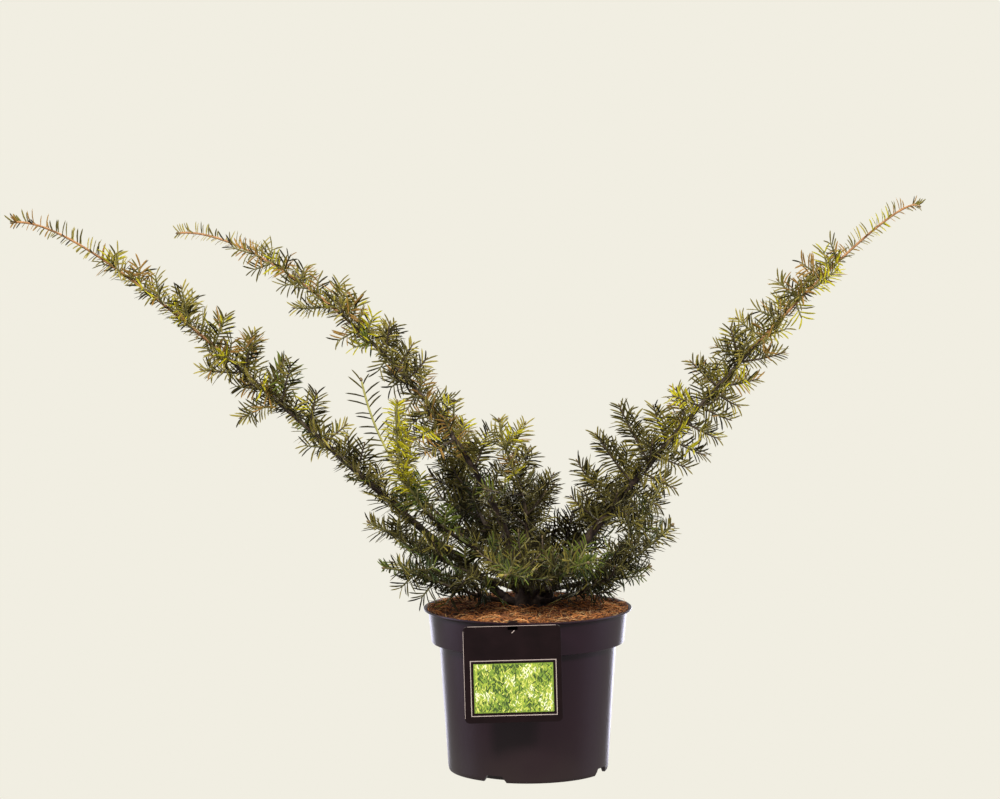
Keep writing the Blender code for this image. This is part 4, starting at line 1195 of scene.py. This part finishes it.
def collar_path(limb):
    """From inside the stem out to the limb, and a little way along it."""
    start = limb_start(limb)
    bearing = math.atan2(limb.tip[1], limb.tip[0])
    along = heading(bearing, math.radians(limb.leave))
    knee = start - along * COLLAR_RUN
    root = np.array([0.0, 0.0, start[2] - COLLAR_DROP])
    bend = root * (1.0 - COLLAR_BEND) + knee * COLLAR_BEND
    neck = bezier((root, bend, knee, start), 24)
    return even_path(np.vstack([neck, start + along * COLLAR_RUN]), COLLAR_STEP)


def make_trunk(materials):
    """The stem and its fork as one skin with bark relief."""
    joined = Joined()
    profile = [(0.0, STEM_PROFILE[0][1])] + list(STEM_PROFILE) + [(0.0, STEM_PROFILE[-1][1])]
    joined.add(*turned_mesh(profile, STEM_SIDES))
    for limb in LIMBS.values():
        path = collar_path(limb)
        radii = limb.foot * np.linspace(*COLLAR_SWELL, len(path))
        joined.add(sweep(path, radii, COLLAR_SIDES), ring_faces(len(path), COLLAR_SIDES))
    rough = joined.build("trunk_rough", [])
    remesh = rough.modifiers.new("skin", "REMESH")
    remesh.mode = "VOXEL"
    remesh.voxel_size = TRUNK_VOXEL
    smooth = rough.modifiers.new("soften", "SMOOTH")
    smooth.iterations = SKIN_SMOOTHING
    data = evaluated(rough)
    bpy.data.objects.remove(rough)
    for vert in data.vertices:
        rise = 0.0
        for height, scales in (SKIN_RIDGES, SKIN_PLATES):
            rise += height * noise.noise(vert.co * Vector(scales))
        vert.co += vert.normal * rise
    data.materials.clear()
    return finished("trunk", data, materials, smooth=True)


def evaluated(obj):
    bpy.context.view_layer.update()
    graph = bpy.context.evaluated_depsgraph_get()
    return bpy.data.meshes.new_from_object(obj.evaluated_get(graph))


# Pot
def inner(point):
    """A point of the pot's inner face, one wall in from the outer face."""
    return point[0] - POT_WALL, point[1] + POT_WALL * INNER_RISE


def pot_inside():
    gutter_top = GUTTER_HEIGHT + FLOOR_THICKNESS
    foot = inner(BODY_FOOT)[0] + (BODY_TOP[0] - BODY_FOOT[0]) * gutter_top / BODY_TOP[1]
    return [(0.0, FLOOR_THICKNESS), (FLOOR_RADIUS - GUTTER_SLOPE, FLOOR_THICKNESS),
            (FLOOR_RADIUS, gutter_top), (foot, gutter_top),
            inner(BODY_TOP), inner(BAND_FOOT), inner(BAND_TOP), (LIP_RADIUS - POT_WALL, POT_HEIGHT)]


def pot_outside():
    ring = FOOT_RADIUS - FOOT_RING
    return [(LIP_RADIUS, POT_HEIGHT), (LIP_RADIUS, POT_HEIGHT - LIP_DROP), BAND_TOP, BAND_FOOT, BODY_TOP,
            BODY_FOOT, (FOOT_RADIUS, 0.0), (ring, 0.0), (ring - GUTTER_SLOPE / 2, GUTTER_HEIGHT),
            (FLOOR_RADIUS + GUTTER_SLOPE, GUTTER_HEIGHT), (FLOOR_RADIUS, 0.0), (0.0, 0.0)]


def rounded(profile, edge):
    """A profile with each corner between its ends turned into a short arc."""
    points = [profile[0]]
    for before, corner, after in zip(profile, profile[1:], profile[2:]):
        before, corner, after = (np.array(point) for point in (before, corner, after))
        back, ahead = before - corner, after - corner
        run = min(edge, np.linalg.norm(back) * 0.45, np.linalg.norm(ahead) * 0.45)
        first, last = corner + unit(back) * run, corner + unit(ahead) * run
        for step in range(EDGE_STEPS + 1):
            share = step / EDGE_STEPS
            arc = first * (1 - share) ** 2 + corner * 2 * share * (1 - share) + last * share ** 2
            points.append(tuple(arc))
    points.append(profile[-1])
    return points


def notch_cutter(angle):
    """A prism, wide at the foot, that opens the foot ring at one angle from the front."""
    mesh = bmesh.new()
    bmesh.ops.create_cube(mesh, size=1.0)
    middle = FOOT_RADIUS - FOOT_RING / 2
    for vert in mesh.verts:
        width = NOTCH_TOP_WIDTH if vert.co.z > 0 else NOTCH_FOOT_WIDTH
        height = NOTCH_HEIGHT if vert.co.z > 0 else -0.001
        across = -vert.co.x * width
        out = middle + vert.co.y * NOTCH_DEPTH
        vert.co = (out * math.sin(angle) + across * math.cos(angle),
                   -out * math.cos(angle) + across * math.sin(angle), height)
    data = bpy.data.meshes.new("notch_cutter")
    mesh.to_mesh(data)
    mesh.free()
    return finished("notch_cutter", data, [])


def edited(data, change):
    """Makes a change to a mesh by way of its editable form."""
    mesh = bmesh.new()
    mesh.from_mesh(data)
    change(mesh)
    mesh.to_mesh(data)
    mesh.free()


def face_outwards(mesh):
    bmesh.ops.recalc_face_normals(mesh, faces=mesh.faces)


def mark_sharp(mesh):
    """Smooth shading with edges kept crisp where faces meet at more than the sharp angle."""
    for edge in mesh.edges:
        edge.smooth = len(edge.link_faces) == 2 and edge.calc_face_angle(0.0) < SHARP_ANGLE
    for face in mesh.faces:
        face.smooth = True


def pot_material():
    """Charcoal moulded plastic: plum tint above, lighter and browner towards the foot."""
    made, tree, shader = node_material("pot_plastic")
    place = place_node(tree, "ShaderNodeTexCoord")
    split = place_node(tree, "ShaderNodeSeparateXYZ", Vector=place.outputs["Object"])
    height = place_node(tree, "ShaderNodeMapRange", Value=split.outputs["Z"])
    height.inputs["From Max"].default_value = POT_HEIGHT
    cloud = grain(tree, 22, 4.0)
    mixed = place_node(tree, "ShaderNodeMath", {"operation": "MULTIPLY_ADD"})
    tree.links.new(cloud, mixed.inputs[0])
    mixed.inputs[1].default_value = POT_CLOUD
    tree.links.new(height.outputs["Result"], mixed.inputs[2])
    tree.links.new(ramp(tree, mixed.outputs["Value"], POT_RAMP), shader.inputs["Base Color"])
    scuffs = grain(tree, 46, 6.0, (1.0, 1.0, 0.22), 0.62)
    tree.links.new(spread_of(tree, scuffs, 0.24, 0.42), shader.inputs["Roughness"])
    shader.inputs["Specular IOR Level"].default_value = 0.32
    shader.inputs["Sheen Weight"].default_value = 0.08
    shader.inputs["Sheen Roughness"].default_value = 0.22
    shader.inputs["Sheen Tint"].default_value = POT_SHEEN
    bump(tree, shader, grain(tree, 700, 2.0), 0.10, 0.0002)
    return made


def make_pot():
    profile = rounded(pot_inside() + pot_outside(), POT_EDGE)
    joined = Joined()
    joined.add(*turned_mesh(profile, POT_STEPS))
    pot = joined.build("pot_shell", [pot_material()], smooth=True)
    edited(pot.data, face_outwards)
    cutters = []
    for number in range(NOTCH_COUNT):
        cutter = notch_cutter(NOTCH_FIRST + number * 2 * math.pi / NOTCH_COUNT)
        cut = pot.modifiers.new(f"notch_{number}", "BOOLEAN")
        cut.operation = "DIFFERENCE"
        cut.solver = "EXACT"
        cut.object = cutter
        cutters.append(cutter)
    data = evaluated(pot)
    pot.modifiers.clear()
    pot.data = data
    for cutter in cutters:
        bpy.data.objects.remove(cutter)
    edited(pot.data, mark_sharp)
    return pot


# Soil
def soil_height(radius):
    """Height of the mound's smooth surface at a distance from the axis."""
    return float(np.interp(radius, (0.0, SOIL_CROWN_RADIUS, SOIL_SHOULDER[0], soil_reach()),
                           (SOIL_TOP, SOIL_TOP, SOIL_SHOULDER[1], SOIL_EDGE)))


def soil_reach():
    """Where the soil's edge meets the inner face of the flared lip."""
    foot, lip = inner(BAND_TOP), (LIP_RADIUS - POT_WALL, POT_HEIGHT)
    return float(np.interp(SOIL_EDGE, (foot[1], lip[1]), (foot[0], lip[0]))) - CLEARANCE


def soil_point(radius, angle):
    """A point of the rough surface, lumpy at two scales and never below the lip at its edge."""
    x, y = radius * math.cos(angle), radius * math.sin(angle)
    lumps = 0.0
    for share, scale, layer in LUMP_SCALES:
        lumps += share * noise.noise(Vector((x * scale, y * scale, layer)))
    if radius > BAND_FOOT[0]:
        lumps = abs(lumps)
    return x, y, soil_height(radius) + SOIL_ROUGHNESS * lumps - SOIL_SINK


def soil_material():
    made, tree, shader = node_material("soil_crumb")
    crumb = grain(tree, 260, 8.0, roughness=0.68)
    tree.links.new(ramp(tree, crumb, SOIL_RAMP), shader.inputs["Base Color"])
    tree.links.new(spread_of(tree, crumb, 0.98, 0.82), shader.inputs["Roughness"])
    shader.inputs["Specular IOR Level"].default_value = 0.15
    bump(tree, shader, crumb, 0.9, 0.0012)
    return made


def make_soil():
    """The rough mound, closed below by the pot's inner face."""
    reach = soil_reach()
    angles = [step * 2 * math.pi / SOIL_STEPS for step in range(SOIL_STEPS)]
    rings = []
    for ring in range(1, SOIL_RINGS + 1):
        rings.append([soil_point(reach * ring / SOIL_RINGS, angle) for angle in angles])
    for radius, height in reversed(pot_inside()[1:7]):
        inset, level = radius - CLEARANCE, height + CLEARANCE
        rings.append([(inset * math.cos(angle), inset * math.sin(angle), level) for angle in angles])
    points = np.vstack([np.array(rings).reshape(-1, 3), [soil_point(0.0, 0.0)]])
    centre = len(points) - 1
    faces = ring_faces(len(rings), SOIL_STEPS, first=False)
    faces += [(centre, (step + 1) % SOIL_STEPS, step) for step in range(SOIL_STEPS)]
    joined = Joined()
    joined.add(points, [tuple(reversed(face)) for face in faces])
    return joined.build("soil_mound", [soil_material()], smooth=True)


def on_soil(draws, spare):
    """A chance place on the mound, evenly spread over its area and off the stem's foot."""
    radius = math.sqrt(draws.uniform(0.02, 1.0)) * (soil_reach() - spare)
    angle = draws.uniform(0, 2 * math.pi)
    return np.array(soil_point(radius, angle))


def chip(joined, draws):
    """A flat, broken flake of bark."""
    sides = draws.randint(5, 8)
    size = draws.uniform(*CHIP_SIZE) * draws.uniform(0.5, 1.0)
    middle = on_soil(draws, CHIP_SPARE) + np.array([0, 0, draws.uniform(*CHIP_LIFT)])
    turn = draws.uniform(0, 2 * math.pi)
    lean = draws.uniform(-CHIP_LEAN, CHIP_LEAN, 2)
    normal = unit(np.array([*lean, 1.0]))
    along = unit(np.cross(normal, np.array([math.sin(turn), math.cos(turn), 0.1])))
    across = np.cross(normal, along)
    angles = np.sort(draws.uniform(0, 0.7, sides) + np.arange(sides) * 2 * math.pi / sides)
    reach = draws.uniform(0.75, 1.15, sides)
    ring = (np.cos(angles) * reach)[:, None] * along * size / 2
    ring = ring + (np.sin(angles) * reach)[:, None] * across * size / 2 * draws.uniform(0.3, 0.7)
    depth = size * draws.uniform(*CHIP_DEPTH)
    top = middle + ring * 0.86 + normal * depth
    rim = middle + ring + normal * depth * 0.3
    low = middle + ring * 0.92 - normal * depth * 0.6
    joined.add(np.stack([low, rim, top]), ring_faces(3, sides))


def fibre(joined, draws):
    """A thin curled strand that lies on the mound and arches a little off it."""
    start = on_soil(draws, FIBRE_SPARE)
    length = draws.uniform(*FIBRE_LENGTH) * draws.uniform(0.4, 1.0)
    bearing = draws.uniform(0, 2 * math.pi)
    curl = draws.uniform(-FIBRE_CURL, FIBRE_CURL)
    arch = draws.uniform(*FIBRE_ARCH)
    count = len(FIBRE_SWELLS)
    step_length = length / (count - 1)
    points = [start]
    for step in range(count - 1):
        bearing += curl / count
        ahead = points[-1] + heading(bearing, 0.0) * step_length
        radius = min(math.hypot(ahead[0], ahead[1]), soil_reach() - FIBRE_EDGE)
        angle = math.atan2(ahead[1], ahead[0])
        rise = length * arch * math.sin(math.pi * (step + 1) / (count - 1))
        points.append(np.array(soil_point(radius, angle)) + np.array([0, 0, rise + FIBRE_LIFT]))
    path = np.array(points)
    radius = draws.uniform(*FIBRE_RADIUS)
    joined.add(sweep(path, radius * np.array(FIBRE_SWELLS), 3), ring_faces(count, 3))


def make_litter():
    """Bark flakes and coir strands on the mound."""
    draws = np.random.RandomState(SEED + 500)
    stores = {name: Joined() for name in LITTER_COLOURS}
    for number in range(CHIP_COUNT):
        chip(stores["chip_dark" if number % 3 == 0 else "chip_brown"], draws)
    for _ in range(FIBRE_COUNT):
        fibre(stores[draws.choice(FIBRE_TINTS, p=FIBRE_SHARES)], draws)
    made = []
    for name, joined in stores.items():
        colour = LITTER_COLOURS[name]
        finish = varied_material(name, colour, 0.35, 320, (0.75, 0.95), (0.6, 0.0005), 0.2)
        made.append(joined.build("soil_" + name, [finish]))
    return made


# Plant tag
def tag_point(x, y, lift):
    """A point of the card's face, in the card's own plane, lifted off it towards the front."""
    cos, sin = math.cos(TAG_TILT), math.sin(TAG_TILT)
    return (TAG_MIDDLE[0] + x * cos - y * sin, TAG_MIDDLE[1] - lift, TAG_MIDDLE[2] + x * sin + y * cos)


def rounded_square(side, corner, steps=6):
    half = side / 2 - corner
    points = []
    for quarter in range(4):
        middle = (half if quarter in (0, 3) else -half, half if quarter in (0, 1) else -half)
        for step in range(steps + 1):
            angle = math.radians(90 * (quarter + step / steps))
            points.append((middle[0] + corner * math.cos(angle), middle[1] + corner * math.sin(angle)))
    return points


def plate(joined, outline, low, high, slot=0, bevel=0.0):
    """A flat plate on the card's plane, from an outline, with a bevelled rim."""
    shape = np.array(outline)
    middle = shape.mean(axis=0)
    shrunk = middle + (shape - middle) * (1.0 - bevel)
    layers = [(shape, low), (shape, high)]
    if bevel:
        depth = high - low
        layers = [(shrunk, low), (shape, low + depth * 0.3), (shape, low + depth * 0.7), (shrunk, high)]
    corners = [[tag_point(x, y, lift) for x, y in ring] for ring, lift in layers]
    faces = ring_faces(len(layers), len(shape))
    joined.add(np.array(corners), faces, [slot] * len(faces))


def rectangle(middle, size):
    x, y = middle
    signs = ((1, 1), (-1, 1), (-1, -1), (1, -1))
    return [(x + right * size[0] / 2, y + up * size[1] / 2) for right, up in signs]


def printed_leaf(joined, x, y, angle, length, width, lift, slot):
    """A small pointed leaf of the panel's pattern."""
    cos, sin = math.cos(angle), math.sin(angle)
    placed = []
    for along, across in LEAF_OUTLINE:
        u, v = along * length, across * width
        placed.append((x + u * cos - v * sin, y + u * sin + v * cos))
    plate(joined, placed, lift, lift + PRINT_HEIGHT, slot)


def make_panel():
    """A plain pattern of crossing leaves that fills the framed panel."""
    draws = np.random.RandomState(SEED + 600)
    joined = Joined()
    front = TAG_THICKNESS / 2
    plate(joined, rectangle(FRAME_MIDDLE, PANEL_SIZE), front - PRINT_SINK, front + PRINT_HEIGHT, 1)
    step_x, step_y = PANEL_SIZE[0] / LEAF_COLUMNS, PANEL_SIZE[1] / LEAF_ROWS
    for row in range(LEAF_ROWS):
        for column in range(LEAF_COLUMNS):
            jitter_x, jitter_y, turn, stretch, layer = draws.uniform(-1, 1, 5)
            length = LEAF_LENGTH * (1.0 + LEAF_STRETCH * stretch)
            edge_x, edge_y = (PANEL_SIZE[0] - length) / 2, (PANEL_SIZE[1] - length) / 2
            x = (column + 0.5 + LEAF_JITTER * jitter_x) * step_x - PANEL_SIZE[0] / 2
            y = (row + 0.5 + LEAF_JITTER * jitter_y) * step_y - PANEL_SIZE[1] / 2
            x = FRAME_MIDDLE[0] + min(edge_x, max(-edge_x, x))
            y = FRAME_MIDDLE[1] + min(edge_y, max(-edge_y, y))
            angle = LEAF_LEANS[(row + column) % 2] + LEAF_TURN * turn
            patch = 0.5 + noise.noise(Vector((x * PATCH_SCALE, y * PATCH_SCALE, 1.7)))
            lightness = (1.0 - LEAF_PATCHES) * draws.uniform(0, 1) + LEAF_PATCHES * patch
            slot = int(np.searchsorted(LEAF_LIMITS, lightness))
            lift = front + PRINT_HEIGHT * (2 + layer)
            printed_leaf(joined, x, y, angle, length, LEAF_WIDTH, lift, slot)
    finishes = []
    for name, colour in PRINT_COLOURS.items():
        finishes.append(varied_material(name, colour, 0.12, 500, (0.30, 0.42)))
    return joined.build("tag_panel", finishes)


def frame_strips():
    """The thin pale line round the panel, as four mitred strips."""
    width, height = FRAME_SIZE
    x, y = FRAME_MIDDLE
    outer = rectangle((x, y), (width, height))
    hole = rectangle((x, y), (width - 2 * FRAME_LINE, height - 2 * FRAME_LINE))
    for corner in range(4):
        after = (corner + 1) % 4
        yield [outer[corner], outer[after], hole[after], hole[corner]]


def hook_outline():
    front = -TAG_MIDDLE[1] + TAG_THICKNESS / 2
    back = -TAG_MIDDLE[1] - TAG_THICKNESS / 2
    foot = TAG_MIDDLE[2] + TAG_SIDE / 2 - HOOK_FOOT
    top = POT_HEIGHT + CLEARANCE
    offset = abs(TAG_MIDDLE[0]) + HOOK_WIDTH / 2
    inside = math.sqrt((inner(BAND_TOP)[0] - 2 * CLEARANCE) ** 2 - offset ** 2)
    tail = POT_HEIGHT - HOOK_TAIL
    return [(front, foot), (front, top + TAG_THICKNESS), (inside - TAG_THICKNESS, top + TAG_THICKNESS),
            (inside - TAG_THICKNESS, tail), (inside, tail), (inside, top), (back, top), (back, foot)]


def make_tag():
    """The card with its hook, the framed panel, the small slit that the hook comes through, and pale strips
    on its left and top edges that are a painted highlight.
    """
    card, lines = Joined(), Joined()
    front = TAG_THICKNESS / 2
    plate(card, rounded_square(TAG_SIDE, TAG_CORNER), -front, front, bevel=CARD_BEVEL)
    outline = hook_outline()
    sides = (TAG_MIDDLE[0] - HOOK_WIDTH / 2, TAG_MIDDLE[0] + HOOK_WIDTH / 2)
    corners = [[(x, -out, height) for out, height in outline] for x in sides]
    card.add(np.array(corners), ring_faces(2, len(outline)))
    for strip in [*frame_strips(), SLIT]:
        plate(lines, strip, front - PRINT_SINK, front + PRINT_HEIGHT * 2)
    # Pale strips along the card's left and top edges: a painted highlight of the card's rounded edge, not
    # print
    straight = TAG_SIDE - 2 * TAG_CORNER
    edge = TAG_SIDE / 2 - EDGE_HIGHLIGHT_WIDTH
    for middle, size in (((-edge, 0.0), (EDGE_HIGHLIGHT_WIDTH, straight)), ((0.0, edge), (straight, EDGE_HIGHLIGHT_WIDTH))):
        plate(lines, rectangle(middle, size), front - PRINT_SINK, front + PRINT_HEIGHT)
    black = varied_material("tag_card", CARD_COLOUR, 0.25, 60, (0.30, 0.42), (0.08, 0.0002), 0.14)
    pale = varied_material("tag_line", LINE_AND_HIGHLIGHT_COLOUR, 0.12, 300, (0.35, 0.50))
    return [card.build("tag_card", [black]), lines.build("tag_frame_line", [pale]), make_panel()]


# Plant
def make_plant():
    """Limbs, shoots, twigs, buds and needles, joined by kind."""
    space = Space()
    limbs, shoots = grow_limbs(space)
    *bark, scaly = bark_materials()
    old, brown, _, green, _ = bark
    limb_skin, green_twigs, brown_twigs, buds = Joined(), Joined(), Joined(), Joined()
    store = {tint: [] for tint in NEEDLE_COLOURS}
    for mass, (name, limb) in enumerate(LIMBS.items(), start=1):
        path, split, stem = limbs[name]
        fine, twigs = [], []
        if limb.habit != "plume":
            fine = grow_fine_shoots(limb, stem, mass, space)
            twigs = grow_twigs(shoots[name], mass, space)
            twigs += [(0.0, shoot) for _, shoot in grow_bough_shoots(limb, path[:split + 1], mass, space)]
        draws = np.random.RandomState(SEED + 400 + mass)
        look = LOOKS.get(name, PLAIN_LOOK)
        limb_tube(limb_skin, limb, path)
        bud(buds, path, LIMB_TIP_RADIUS)
        set_stem_sprays(limb, stem, look, store, draws)
        for share, shoot in shoots[name] + fine:
            main = run_of(shoot) > TWIG_FROM
            kind = brown_twigs if main and share < BROWN_TO else green_twigs
            twig_tube(kind, shoot, SHOOT_RADIUS, SHOOT_TIP_RADIUS)
            if main:
                bud(buds, shoot, SHOOT_TIP_RADIUS * BUD_SHARE)
            set_spray(shoot, limb, look, share, store, draws)
        for share, twig in twigs:
            twig_tube(green_twigs, twig, FINE_RADIUS, SHOOT_TIP_RADIUS * BUD_SHARE)
            set_spray(twig, limb, look, share, store, draws)
    wood = [make_trunk([old]), limb_skin.build("limbs", bark, smooth=True)]
    leafy = [green_twigs.build("twigs_green", [green], smooth=True),
             brown_twigs.build("twigs_brown", [brown], smooth=True),
             buds.build("buds", [scaly], smooth=True)]
    needles = []
    for tint, parts in store.items():
        rows = np.vstack(parts)
        finishes = needle_materials(tint)
        chunks = math.ceil(len(rows) / NEEDLES_A_PIECE)
        for number, chunk in enumerate(np.array_split(rows, chunks), start=1):
            needles.append(needle_piece(f"needles_{tint}_{number}", chunk, finishes))
    return wood, leafy, needles


# Stage
def glowing(name):
    """Paper so evenly lit that it has one brightness all over."""
    made, _, shader = node_material(name)
    shader.inputs["Base Color"].default_value = (0.0, 0.0, 0.0, 1.0)
    shader.inputs["Emission Color"].default_value = (*CREAM, 1.0)
    shader.inputs["Emission Strength"].default_value = 1.0
    shader.inputs["Roughness"].default_value = 1.0
    shader.inputs["Specular IOR Level"].default_value = 0.0
    return made


def make_stage():
    """A cream floor and the room's cream wall round it, which the lamps alone don't see."""
    paper = glowing("cream_paper")
    floor, room = Joined(), Joined()
    angles = np.arange(ROUND_SIDES) * 2 * math.pi / ROUND_SIDES
    ring = np.stack([np.cos(angles), np.sin(angles), np.zeros(ROUND_SIDES)], axis=1)
    top = ring * FLOOR_SIZE
    floor.add(np.stack([top - np.array([0, 0, FLOOR_DEPTH]), top]), ring_faces(2, ROUND_SIDES))
    rises = np.radians(np.arange(*DOME_RISES))
    lift = np.array([0, 0, BACKDROP_SIZE])
    dome = [ring * BACKDROP_SIZE * math.cos(rise) + lift * math.sin(rise) for rise in rises]
    room.add(np.stack(dome), ring_faces(len(rises), ROUND_SIDES))
    for piece in (floor.build("floor", [paper]), room.build("backdrop", [paper])):
        piece.visible_diffuse = False
        piece.visible_glossy = False
        piece.visible_shadow = False


def make_world():
    world = bpy.data.worlds.new("studio")
    world.use_nodes = True
    background = world.node_tree.nodes["Background"]
    background.inputs["Color"].default_value = (*AMBIENT, 1.0)
    background.inputs["Strength"].default_value = AMBIENT_STRENGTH
    bpy.context.scene.world = world
    bpy.context.scene.view_settings.view_transform = "Standard"


def make_lights():
    for name, (place, size, power, colour) in LIGHTS.items():
        lamp = bpy.data.lights.new(name, "AREA")
        lamp.shape = "RECTANGLE"
        lamp.size, lamp.size_y = size
        lamp.energy = power
        lamp.color = colour
        light = bpy.data.objects.new(name, lamp)
        light.location = place
        light.rotation_euler = (AIM - Vector(place)).to_track_quat("-Z", "Y").to_euler()
        light.visible_camera = False
        if name.endswith("edge"):
            light.visible_diffuse = False
        bpy.context.scene.collection.objects.link(light)


def make_camera():
    lens = bpy.data.cameras.new("camera")
    lens.sensor_width = SENSOR
    lens.lens = FOCAL_PIXELS / PHOTO_WIDTH * SENSOR
    lens.clip_end = CLIP_END
    camera = bpy.data.objects.new("camera", lens)
    camera.location = CAMERA_PLACE
    camera.rotation_mode = "XYZ"
    camera.rotation_euler = (math.pi / 2 - CAMERA_PITCH, CAMERA_ROLL, 0.0)
    bpy.context.scene.collection.objects.link(camera)
    bpy.context.scene.camera = camera


def claim(piece, slot, *nodes):
    """The piece rides on the plant's one body and stands for these solids."""
    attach(piece, "root")
    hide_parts(*nodes)


def main():
    claim(make_pot(), "pot_plastic", "pot")
    for piece in [make_soil(), *make_litter()]:
        claim(piece, "soil", "soil")
    for piece in make_tag():
        claim(piece, "tag_card", "plant_tag")
    wood, leafy, needles = make_plant()
    foliage = [f"foliage_{name}" for name in LIMBS]
    boughs = [f"bough_{name}" for name in LIMBS]
    for piece in wood:
        claim(piece, "bark", "stem", *boughs)
    for piece in leafy:
        claim(piece, "bark", *foliage)
    for piece in needles:
        claim(piece, "needles", *foliage)
    make_stage()
    make_world()
    make_lights()
    make_camera()


main()
